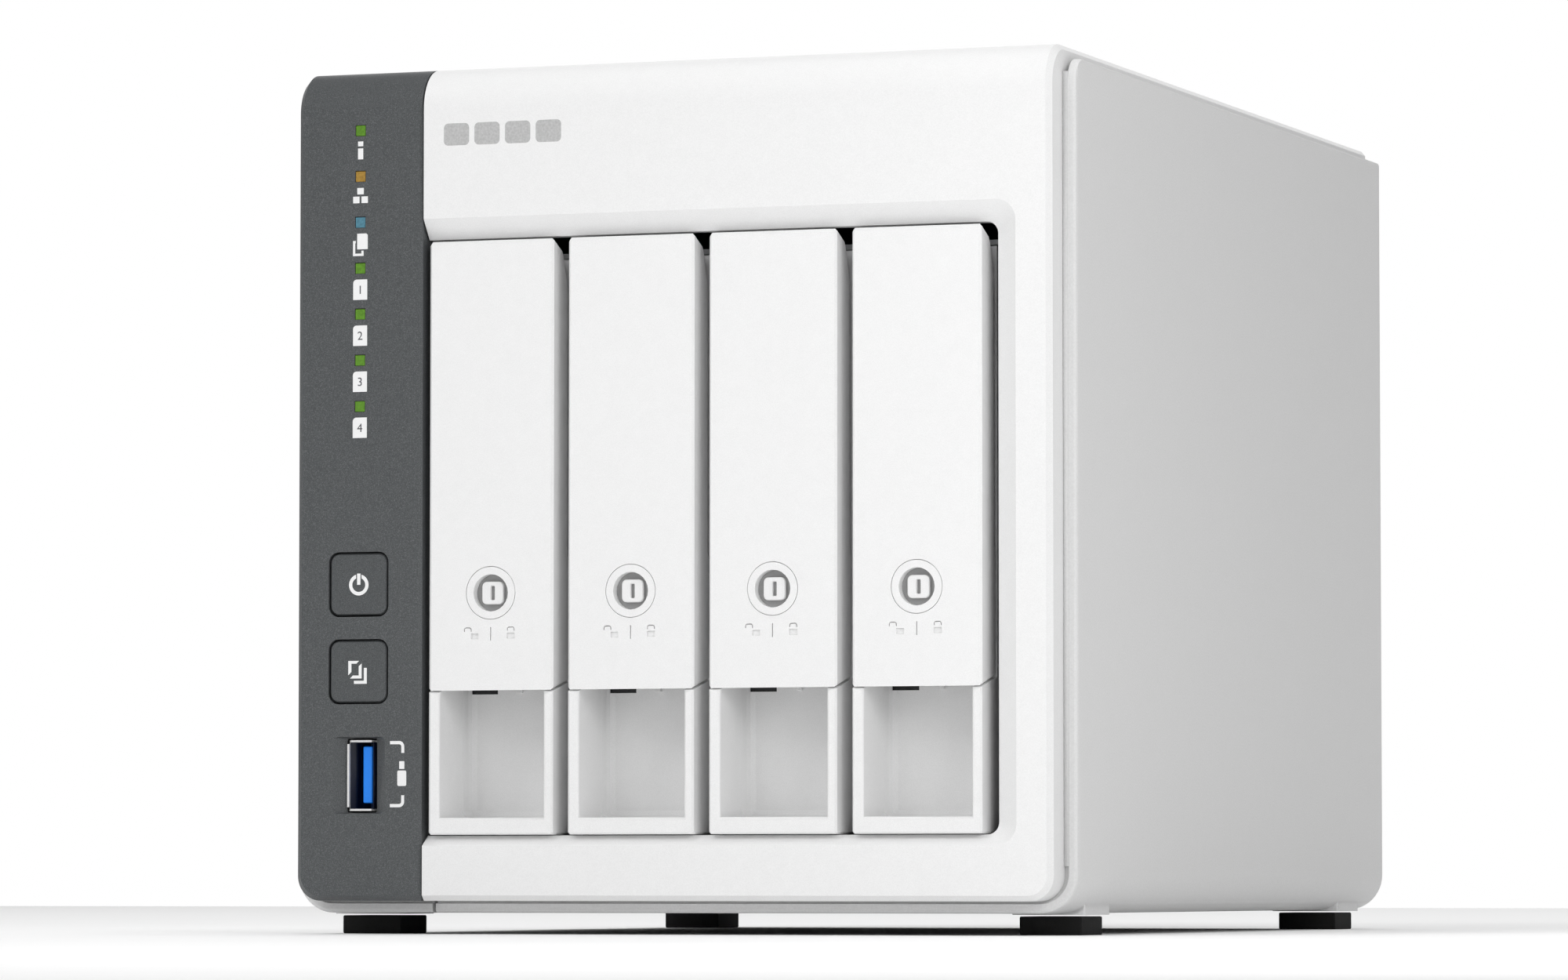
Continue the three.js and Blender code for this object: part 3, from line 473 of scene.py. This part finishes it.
def cutter(outlines, low, high, axis="Y"):
    """A plate that cuts: it is never shown."""
    tool = bpy.data.objects.new("cutter", plate_mesh(outlines, low, high, axis=axis))
    bpy.context.scene.collection.objects.link(tool)
    return tool


def joined(name, meshes, material, body):
    """One piece made of several separate meshes."""
    made = bmesh.new()
    for mesh in meshes:
        made.from_mesh(mesh)
    mesh = bpy.data.meshes.new(name)
    made.to_mesh(mesh)
    made.free()
    return show(mesh, name, material, body)


# ---- Camera, light and floor ------------------------------------------------------------------------
def add_camera():
    yaw, pitch = 20.36, 3.158
    camera = bpy.data.cameras.new("camera")
    camera.sensor_width = 36
    camera.lens = 162.33
    camera.clip_end = 20
    holder = bpy.data.objects.new("camera", camera)
    holder.location = (0.4897, -1.36478, 0.01044)
    holder.rotation_euler = (math.radians(90 + pitch), 0, math.radians(yaw))
    bpy.context.scene.collection.objects.link(holder)
    bpy.context.scene.camera = holder


def add_area_light(name, location, target, size, power):
    light = bpy.data.lights.new(name, "AREA")
    light.shape = "RECTANGLE"
    light.size, light.size_y = size
    light.energy = power
    holder = bpy.data.objects.new(name, light)
    holder.location = location
    holder.rotation_euler = (Vector(target) - Vector(location)).to_track_quat("-Z", "Y").to_euler()
    bpy.context.scene.collection.objects.link(holder)
    return holder


def directional_world():
    """An even grey surround that turns white behind the box, where the camera looks."""
    world = bpy.data.worlds.new("studio")
    world.use_nodes = True
    tree = world.node_tree
    coordinates = tree.nodes.new("ShaderNodeTexCoord")
    toward = tree.nodes.new("ShaderNodeVectorMath")
    toward.operation = "DOT_PRODUCT"
    toward.inputs[1].default_value = Vector((-0.35, 0.93, 0.05)).normalized()
    tree.links.new(coordinates.outputs["Generated"], toward.inputs[0])
    surround = ramp(tree, toward.outputs["Value"], 0.75, 0.92, (0.27, 0.27, 0.27), (1, 1, 1))
    tree.links.new(surround, tree.nodes["Background"].inputs["Color"])
    bpy.context.scene.world = world


def add_studio():
    directional_world()
    bpy.context.scene.view_settings.view_transform = "Standard"
    middle = (0, 0, 0.08)
    key = add_area_light("key", (-0.75, -1.6, 1.4), middle, (1.1, 1.1), 13.6)
    side = add_area_light("side", (0.42, -0.46, 0.26), (0.08, -0.05, 0.08), (0.25, 0.25), 0.92)
    top = add_area_light("top", (0.0, -0.1, 1.7), middle, (1.4, 1.4), 12)
    backdrop = add_area_light("backdrop", (0, 1.5, 1.1), (0, 0.9, 0), (2.6, 1.6), 9.5)
    add_area_light("front", (0.1, -2.2, 0.4), middle, (1.2, 1.2), 3)
    for light in (key, side, top, backdrop):
        light.visible_glossy = False
    bpy.ops.mesh.primitive_plane_add(size=2.4, location=(0, 0, 0))
    floor = bpy.context.object
    floor.name = "floor"
    floor.data.materials.append(moulded("pale_floor", (0.97, 0.97, 0.97), 0.8, grain=300, contrast=0.01))


# ---- Case ---------------------------------------------------------------------------------------
def carried_over(material, *nodes):
    """CAD nodes whose own shape is shown, with a finished material."""
    for name in nodes:
        mesh = frame["nodes"][name].data
        mesh.materials.clear()
        mesh.materials.append(material)


def add_case():
    refined("left_cover", CASE_GREY)
    refined("right_cover", CASE_GREY)
    seam_front, seam_back, seam_foot, seam_top = 6.98, 7.88, 13, 162.77
    seam = rectangle(seam_front, seam_back, seam_foot, seam_top)
    inner, outer = 77.24, 78.3
    for side, low, high in (("left", -outer, -inner), ("right", inner, outer)):
        plate(f"case_seal_{side}", [seam], low, high, CASE_GREY, HOUSING, axis="X")
    for corner in ("front_left", "front_right", "rear_left", "rear_right"):
        refined("foot_" + corner, RUBBER, round_mm=0.3)


# ---- Control panel --------------------------------------------------------------------------------
LAMP_X = (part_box("light_pipe")[0][0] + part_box("light_pipe")[1][0]) / 2 / MM
LAMP_TOP = 156.0
LAMP_PITCH = 8.96
LAMP_HALF = 1.0
PRINT_FACE = 0.02  # printed marks lie flush in the front
PRINT_DEPTH = 0.12
FIRST_BAY_LAMP = 3  # the three lamps above are status, network and copy


def lamp_height(number):
    return LAMP_TOP - number * LAMP_PITCH


def lamp_mark(number, u0, u1, below_top, below_bottom):
    """A rectangle of a printed mark, placed from the middle of its lamp."""
    height = lamp_height(number)
    return rectangle(LAMP_X + u0, LAMP_X + u1, height - below_bottom, height - below_top)


def status_mark():
    return [lamp_mark(0, -0.56, 0.56, 2.1, 3.05), lamp_mark(0, -0.56, 0.56, 3.45, 5.6)]


def network_mark():
    top = lamp_mark(1, -0.7, 0.7, 2.22, 3.48)
    left = lamp_mark(1, -1.57, -0.2, 3.89, 5.19)
    right = lamp_mark(1, 0.2, 1.57, 3.89, 5.19)
    return [top, left, right]


def copy_mark():
    height = lamp_height(2)
    front_page = [(-0.69, -2.16), (1.27, -2.16), (1.57, -2.46), (1.57, -5.24), (-0.69, -5.24)]
    back_page = [(-0.98, -3.8), (-1.32, -3.8), (-1.32, -6.29), (0.46, -6.29), (0.46, -5.5)]
    return [moved(front_page, LAMP_X, height), moved(stroke(back_page, 0.5), LAMP_X, height)]


def badge_outline(bay):
    """The white tag of a bay: its upper left corner is round."""
    left, right, radius = -1.5, 1.5, 0.75
    height = lamp_height(FIRST_BAY_LAMP + bay - 1)
    top, bottom = height - 2.15, height - 6.13
    corner = arc(LAMP_X + left + radius, top - radius, radius, 90, 180, 8)
    return corner + [(LAMP_X + left, bottom), (LAMP_X + right, bottom), (LAMP_X + right, top)]


def port_bracket(x, z, upward):
    """One half of the bracket beside the front socket, ending in a round corner."""
    width, radius = 0.64, 0.75
    bend = arc(x - radius, z - upward * radius, radius, 90 * upward, 0, 6)
    return stroke([(x - 2.7, z), *bend, (x, z - upward * 2.0)], width)


def port_mark():
    """A bracket round a small plug, drawn upright like the socket."""
    edge = -54.68
    low, high = 24.8, 36.96
    middle = (low + high) / 2
    plug = [
        rectangle(edge - 1.15, edge + 0.75, middle - 2.3, middle + 0.7, 0.3),
        rectangle(edge - 0.75, edge + 0.35, middle + 1.0, middle + 2.5, 0.1),
    ]
    return [port_bracket(edge, high, 1), port_bracket(edge, low, -1), *plug]


def panel_marks():
    marks = {
        "status_mark": status_mark(),
        "network_mark": network_mark(),
        "copy_mark": copy_mark(),
        "front_port_mark": port_mark(),
    }
    for bay in BAYS:
        marks[f"badge_{bay}"] = [badge_outline(bay)]
    return marks


def add_lamps():
    colours = [LAMP_GREEN, LAMP_AMBER, LAMP_BLUE] + [LAMP_GREEN] * len(BAYS)
    front, back = 0.05, 7.4
    for number, material in enumerate(colours):
        outline = square(LAMP_X, lamp_height(number), LAMP_HALF, 0.1)
        plate(f"lamp_{number + 1}", [outline], front, back, material, HOUSING, 0.05)
    low, high = node_box("light_pipe")
    bar = rectangle(low.x, high.x, low.z, high.z, 0.4)
    spine = plate("light_pipe_bar", [bar], back, high.y, CLEAR, HOUSING, 0.2)
    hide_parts("light_pipe")


def add_control_panel():
    marks = panel_marks()
    refined("control_panel", PANEL_GREY, cutters=[cutter(m, -1, PRINT_DEPTH) for m in marks.values()])
    for name, outlines in marks.items():
        plate(name, outlines, PRINT_FACE, PRINT_DEPTH, PRINT_WHITE, HOUSING)
    for bay in BAYS:
        height = lamp_height(FIRST_BAY_LAMP + bay - 1) - 4.14
        numeral = digit_mesh(bay, LAMP_X, height, 1.65, 0.005, PRINT_FACE + 0.02)
        show(numeral, f"badge_number_{bay}", PRINT_DARK, HOUSING)
    add_lamps()


def power_symbol():
    """A ring open at the top with an upright bar in the gap."""
    outer, inner, gap, centre = 2.06, 1.37, 0.58, -0.1
    steps = 40
    outer_gap = math.degrees(math.asin(gap / outer))
    inner_gap = math.degrees(math.asin(gap / inner))
    ring = arc(0, centre, outer, 90 + outer_gap, 450 - outer_gap, steps)
    ring += arc(0, centre, inner, 450 - inner_gap, 90 + inner_gap, steps)
    bar = rectangle(-0.35, 0.35, -0.08, 2.1)
    return [ring, bar]


def pages_symbol():
    """Two stacked pages drawn as broken outlines."""
    upper_left = [(-2.16, 2.1), (0.11, 2.1), (-0.43, 1.56), (-1.5, 1.56), (-1.5, -0.04), (-2.16, -0.67)]
    lower_right = [(0.66, 1.6), (0.66, -1.31), (-1.8, -1.31), (-1.18, -0.73), (0.05, -0.73), (0.05, 1.06)]
    behind = [(1.14, 0.73), (1.75, 0.73), (1.75, -2.35), (-0.95, -2.35), (-0.95, -1.75), (1.14, -1.75)]
    return [upper_left, lower_right, behind]


def add_button(node, symbol):
    """A button with a printed sign; its gap is wider on the right and below."""
    low, high = node_box(node)
    trim = 0.22
    corner = 1.7
    around = rectangle(low.x - 1, high.x + 1, low.z - 1, high.z + 1)
    kept = rectangle(low.x - 0.5, high.x - trim, low.z + trim, high.z + 0.5, corner)
    refined(node, BUTTON_GREY, cutters=[cutter([around, kept], low.y - 1, low.y + 1.2)])
    x, z = (low.x + high.x) / 2, (low.z + high.z) / 2
    outlines = [moved(outline, x, z) for outline in symbol]
    proud = 0.03
    plate(node + "_mark", outlines, low.y - proud, low.y + 0.2, PRINT_WHITE, node)


def add_front_usb():
    """A shell with notched left corners and a right wall set back, a tongue, and a near-black blue sheet
    inside the shell that is painted shade; the shell's near-white steel is painted reflection.
    """
    low, high = node_box("front_usb_shell")
    notch, depth = 0.75, 1.2
    set_back = 2.5
    corners = [square(low.x, z, notch) for z in (low.z, high.z)]
    far_wall = rectangle(high.x - 0.6, high.x + 1, low.z - 1, high.z + 1)
    refined("front_usb_shell", SOCKET_STEEL_PAINTED_REFLECTION, cutters=[
        cutter(corners, low.y - 1, low.y + depth),
        cutter([far_wall], low.y - 1, low.y + set_back),
    ])
    refined("front_usb_tongue", BLUE, round_mm=0.3)
    wall, skin = 0.4, 0.06
    # A near-black blue sheet just inside the shell's walls: painted shade deep in the socket.
    inner = wall + skin
    shade_sheet = [
        rectangle(low.x + wall, high.x - wall, low.z + wall, high.z - wall),
        rectangle(low.x + inner, high.x - inner, low.z + inner, high.z - inner),
    ]
    shade_sheet_back = 11.4
    plate("front_usb_painted_shade", shade_sheet, low.y + 0.6, shade_sheet_back, PAINTED_SHADE_BLUE, HOUSING)


# ---- Bezel and trays -------------------------------------------------------------------------------
def emblem():
    """Four plain bars, one for each bay."""
    left, bottom, width, height, gap = -46.4, 152.4, 5.3, 4.3, 1.1
    corner = 0.9
    starts = [left + i * (width + gap) for i in range(len(BAYS))]
    return [rectangle(x, x + width, bottom, bottom + height, corner) for x in starts]


def add_bezel():
    refined("front_bezel", WHITE, cutters=[cutter(emblem(), -1, PRINT_DEPTH)])
    plate("emblem", emblem(), PRINT_FACE, PRINT_DEPTH, PRINT_GREY, HOUSING)


def shackle(x, foot, bend):
    """The bow of a padlock as a thin line, from the height of its feet and of its bends."""
    half, radius, steps, line = 0.7, 0.35, 3, 0.2
    left = [(x - half, foot), *arc(x - radius, bend, radius, 180, 90, steps)]
    right = [*arc(x + radius, bend, radius, 90, 0, steps), (x + half, foot)]
    return stroke(left + right, line)


def open_padlock(x, z):
    body = rectangle(x + 0.65, x + 2.25, z - 0.7, z + 0.4, 0.15)
    return [shackle(x, z + 0.75, z + 1.15), body]


def closed_padlock(x, z):
    body = rectangle(x - 0.84, x + 0.84, z - 0.65, z + 0.5, 0.15)
    return [shackle(x, z + 0.85, z + 1.2), body]


def latch_marks(x, lock_z):
    """The fine groove round the lock, and the open and closed marks under it."""
    groove_outer, groove_inner, steps = 5.16, 5.02, 72
    groove = [circle(x, lock_z, groove_outer, steps), circle(x, lock_z, groove_inner, steps)]
    divider = rectangle(x - 0.09, x + 0.11, lock_z - 9.2, lock_z - 6.6)
    marks_z = lock_z - 8.2
    return [*groove, divider, *open_padlock(x - 4.75, marks_z), *closed_padlock(x + 4.2, marks_z)]


def latch_side_recesses(low, high):
    """A shallow step down both sides of a latch, near its back."""
    depth, start, bottom, corner = 0.2, 7.9, 72, 1.5
    behind, above = 20, high.z + 1
    bend = arc(start + corner, bottom + corner, corner, 180, 270, 5)
    outline = [(start, above), *bend, (behind, bottom), (behind, above)]
    return [
        cutter([outline], low.x - 1, low.x + depth, "X"),
        cutter([outline], high.x - depth, high.x + 1, "X"),
    ]


def add_lock(node, x, z):
    """A grey barrel with a white rounded knob that has a slot for a key or a coin."""
    face_radius, face_front, face_back = 3.55, 2.42, 3.2
    knob_half, knob_corner, knob_front, knob_back = 2.2, 0.95, 1.42, 2.46
    refined(node, LOCK_GREY)
    face = circle(x, z, face_radius, 60)
    plate(node + "_face", [face], face_front, face_back, LOCK_GREY, node)
    slot = rectangle(x - 0.4, x + 0.4, z - 1.35, z + 1.35, 0.2)
    knob = [square(x, z, knob_half, knob_corner), slot]
    plate(node + "_knob", knob, knob_front, knob_back, LATCH_WHITE, node, 0.22)


def add_latch(bay):
    node = f"tray_latch_{bay}"
    low, high = node_box(node)
    lock_low, lock_high = node_box(f"latch_lock_{bay}")
    x = (low.x + high.x) / 2
    lock_z = lock_low.z + (lock_high.x - lock_low.x) / 2
    engraving_depth = 0.45
    engraved = cutter(latch_marks(x, lock_z), low.y - 1, low.y + engraving_depth)
    refined(node, LATCH_WHITE, cutters=[engraved, *latch_side_recesses(low, high)])
    add_lock(f"latch_lock_{bay}", x, lock_z)


def mouth_edge(edge):
    """Whether an edge lies where the finger pocket opens in the tray's front."""
    face_y, tolerance, steep = 0.4, 0.02, 60
    off_face = max(abs(v.co.y / MM - FRONT - face_y) for v in edge.verts)
    return off_face < tolerance and edge.calc_face_angle(0) > math.radians(steep)


def add_tray(bay):
    """A tray whose finger pocket has a square mouth and a catch slot in its back wall, with a black plate
    inside the slot as painted shade.
    """
    node = f"tray_{bay}"
    low, high = node_box(node)
    x = (low.x + high.x) / 2
    slot_front, slot_back = 15.5, 18.5
    slot = cutter([rectangle(x - 10.4, x - 4.9, 46.55, 53)], slot_front, slot_back)
    mouth_depth, mouth_radius = 12, 0.6
    mouth = cutter([rectangle(x - 10.61, x + 10.93, 22.42, 54.2)], -1, mouth_depth)
    refined(node, WHITE, mouth_radius, mouth_edge, cutters=[slot], shaping=[mouth])
    # A black plate inside the catch slot: painted shade where the slot runs into the tray.
    slot_shade_sheet = rectangle(x - 10.5, x - 4.8, 46.4, 53)
    plate(f"tray_slot_painted_shade_{bay}", [slot_shade_sheet], 16.3, 16.8, BLACK, node)
    tab = rectangle(x - 0.65, x + 0.45, 46.7, 52, 0.2)
    plate(f"tray_tab_{bay}", [tab], 15.2, 16.1, WHITE, node, 0.1)


def add_drive(bay):
    """A cast body with a cover and a label on one side, and a circuit board on the other."""
    node = f"drive_{bay}"
    body = f"tray_{bay}"
    low, high = node_box(node)
    mid_y, mid_z = (low.y + high.y) / 2, (low.z + high.z) / 2
    board = rectangle(mid_y - 20, high.y - 12, low.z + 4, high.z - 4, 3)
    cover = rectangle(low.y + 3, high.y - 4, low.z + 3, high.z - 3, 6)
    hub = circle(mid_y - 22, mid_z, 14, 40)
    recess, cover_step = 0.9, 0.3
    refined(node, ALUMINIUM, cutters=[
        cutter([board], low.x - 1, low.x + recess, "X"),
        cutter([cover, hub], high.x - cover_step, high.x + 1, "X"),
    ])
    face, back = low.x + 0.3, low.x + recess + 0.1
    plate(f"drive_board_{bay}", [board], face, back, BOARD, body, axis="X")
    label = rectangle(mid_y + 2, high.y - 14, low.z + 14, high.z - 14, 1)
    plate(f"drive_label_{bay}", [label], high.x - 0.35, high.x - 0.2, LABEL, body, axis="X")
    chips = [
        rectangle(mid_y + 4, mid_y + 16, mid_z - 6, mid_z + 6),
        rectangle(mid_y + 26, mid_y + 36, mid_z + 12, mid_z + 20),
        rectangle(mid_y - 10, mid_y - 3, mid_z - 24, mid_z - 14),
    ]
    plate(f"drive_chips_{bay}", chips, low.x + 0.02, low.x + 0.4, BLACK, body, axis="X")


def add_bays():
    for bay in BAYS:
        add_tray(bay)
        add_latch(bay)
        add_drive(bay)
        carried_over(STEEL, f"latch_pin_{bay}")
        carried_over(BLACK, f"sata_socket_{bay}")


# ---- Back ---------------------------------------------------------------------------------------------
def cross(x, z, half, arm):
    """A plus-shaped outline."""
    points = [(arm, half), (arm, arm), (half, arm), (half, -arm), (arm, -arm), (arm, -half)]
    return moved(points + [(-u, -v) for u, v in points], x, z)


def add_screws():
    cross_half, cross_arm = 1.7, 0.35
    for number in REAR_SCREWS:
        node = f"rear_screw_{number}"
        low, high = node_box(node)
        x, z = (low.x + high.x) / 2, (low.z + high.z) / 2
        drive = cutter([cross(x, z, cross_half, cross_arm)], high.y - 1, high.y + 1)
        refined(node, STEEL, round_mm=0.35, cutters=[drive])


def vent_holes(x0, x1, z0, rows):
    """Rows of round holes, every other row shifted by half a pitch."""
    radius, pitch, steps = 1.5, 4.4, 12
    holes = []
    for row in range(rows):
        count = int((x1 - x0) / pitch) - row % 2
        start = x0 + pitch / 2 * (row % 2)
        z = z0 + row * pitch * math.sin(math.radians(60))
        holes += [circle(start + i * pitch, z, radius, steps) for i in range(count)]
    return holes


def add_rear_panel():
    """The panel with its vents, and a black sheet that closes them from inside as painted shade in the
    holes.
    """
    low, high = node_box("rear_panel")
    vents = vent_holes(-52, 70, high.z - 17, 3)
    refined("rear_panel", CASE_GREY, cutters=[cutter(vents, low.y - 1, high.y + 1)])
    # A black sheet just behind the vent holes: painted shade seen through them.
    vent_shade_sheet = rectangle(-56, 72, high.z - 21, high.z - 5)
    plate("vent_painted_shade", [vent_shade_sheet], low.y - 0.5, low.y + 0.02, BLACK, HOUSING)
    carried_over(STEEL, "fan_guard")


def add_network_port(node):
    """A metal jack with eight gold contacts and two small lamps."""
    low, high = node_box(node)
    x, z = low.x, (low.z + high.z) / 2
    carried_over(STEEL, node)
    count, pitch = 8, 1.02
    rows = [z + i * pitch for i in range(count)]
    contacts = [rectangle(x + 1.7, x + 3.2, row - 3.77, row - 3.37) for row in rows]
    plate(node + "_contacts", contacts, high.y - 11, high.y - 4, GOLD, HOUSING)
    for name, side, material in (("link", 1, LAMP_GREEN), ("data", -1, LAMP_AMBER)):
        window = square(high.x - 2.1, z + side * 6.1, 0.9, 0.2)
        low_y, high_y = high.y - 0.02, high.y + 0.05
        plate(f"{node}_{name}_lamp", [window], low_y, high_y, material, HOUSING)


def add_rear_usb():
    """The two sockets get blue tongues over their metal ones."""
    node = "rear_usb_ports"
    low, high = node_box(node)
    carried_over(STEEL, node)
    edge, opening, tongue = 1.0, 5.1, (0.62, 2.58)
    deep, shallow = high.y - 9.9, high.y - 1.1
    for number, left in enumerate((low.x + edge, high.x - edge - opening)):
        name = f"rear_usb_tongue_{number + 1}"
        outline = rectangle(left + tongue[0], left + tongue[1], low.z + 1.52, high.z - 1.52)
        plate(name, [outline], deep, shallow, BLUE, HOUSING, 0.1)


def add_power_inlet():
    low, high = node_box("power_inlet")
    carried_over(BLACK, "power_inlet")
    x, z = (low.x + high.x) / 2 - 0.4, (low.z + high.z) / 2
    pin = circle(x, z, 1.05, 24)
    plate("power_inlet_pin", [pin], high.y - 9.8, high.y - 0.95, GOLD, HOUSING, 0.2)


def blade_mesh(turn, centre, root, tip, front, back):
    """A curved, twisted fan blade as a closed mesh."""
    spans, chords, thickness = 8, 8, 1.3
    middle, half = (front + back) / 2, (back - front) / 2
    made = bmesh.new()
    grid = []
    for side in (-1, 1):
        for i in range(spans + 1):
            radius = root + (tip - root) * i / spans
            sweep = 0.55 - 0.15 * i / spans
            for j in range(chords + 1):
                across = 2 * j / chords - 1
                angle = turn + across * sweep * (0.5 + 0.12 * across) + 0.1 * i / spans
                pitch = across * half * (0.92 - 0.12 * i / spans)
                y = middle + pitch + side * thickness / 2 * (1 - across**4)
                point = place(centre.x + radius * math.cos(angle), y, centre.z + radius * math.sin(angle))
                grid.append(made.verts.new(point))
    row = chords + 1
    layer = row * (spans + 1)
    for i in range(spans):
        for j in range(chords):
            a = i * row + j
            made.faces.new((grid[a], grid[a + 1], grid[a + row + 1], grid[a + row]))
            b = a + layer
            made.faces.new((grid[b], grid[b + row], grid[b + row + 1], grid[b + 1]))
    rim = list(range(row))
    rim += [i * row + chords for i in range(1, spans + 1)]
    rim += [spans * row + j for j in range(chords - 1, -1, -1)]
    rim += [i * row for i in range(spans - 1, 0, -1)]
    for first, second in zip(rim, rim[1:] + rim[:1]):
        made.faces.new((grid[first], grid[second], grid[second + layer], grid[first + layer]))
    close_seams(made)
    mesh = bpy.data.meshes.new("blade")
    made.to_mesh(mesh)
    made.free()
    return mesh


def add_fan():
    low, high = node_box("fan_rotor")
    centre = (low + high) / 2
    root, blades = 19.0, 9
    tip = (high.z - low.z) / 2 - 0.6
    front, back = low.y + 1.2, high.y - 0.4
    turns = [2 * math.pi * i / blades for i in range(blades)]
    meshes = [blade_mesh(turn, centre, root, tip, front, back) for turn in turns]
    hub = circle(centre.x, centre.z, 20, 64)
    meshes.append(plate_mesh([hub], low.y, high.y, 1.2))
    rotor = joined("fan_rotor_skin", meshes, BLACK, "fan_rotor")
    smooth(rotor, SHARP_EDGE)
    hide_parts("fan_rotor")
    carried_over(BLACK, "fan_frame")
    sticker = circle(centre.x, centre.z, 17, 48)
    plate("fan_label", [sticker], high.y + 5.05, high.y + 5.15, LABEL, HOUSING)


def add_inside():
    carried_over(STEEL, "cage_left_wall", "cage_right_wall", "cage_floor", "cage_roof")
    carried_over(BOARD, "mainboard", "backplane")
    carried_over(ALUMINIUM, "heatsink")
    carried_over(BLACK, "processor", "power_switch", "copy_switch", "reset_button")


add_camera()
add_studio()
add_case()
add_control_panel()
add_button("power_button", power_symbol())
add_button("copy_button", pages_symbol())
add_front_usb()
add_bezel()
add_bays()
add_rear_panel()
add_screws()
add_network_port("lan_port_upper")
add_network_port("lan_port_lower")
add_rear_usb()
add_power_inlet()
add_fan()
add_inside()
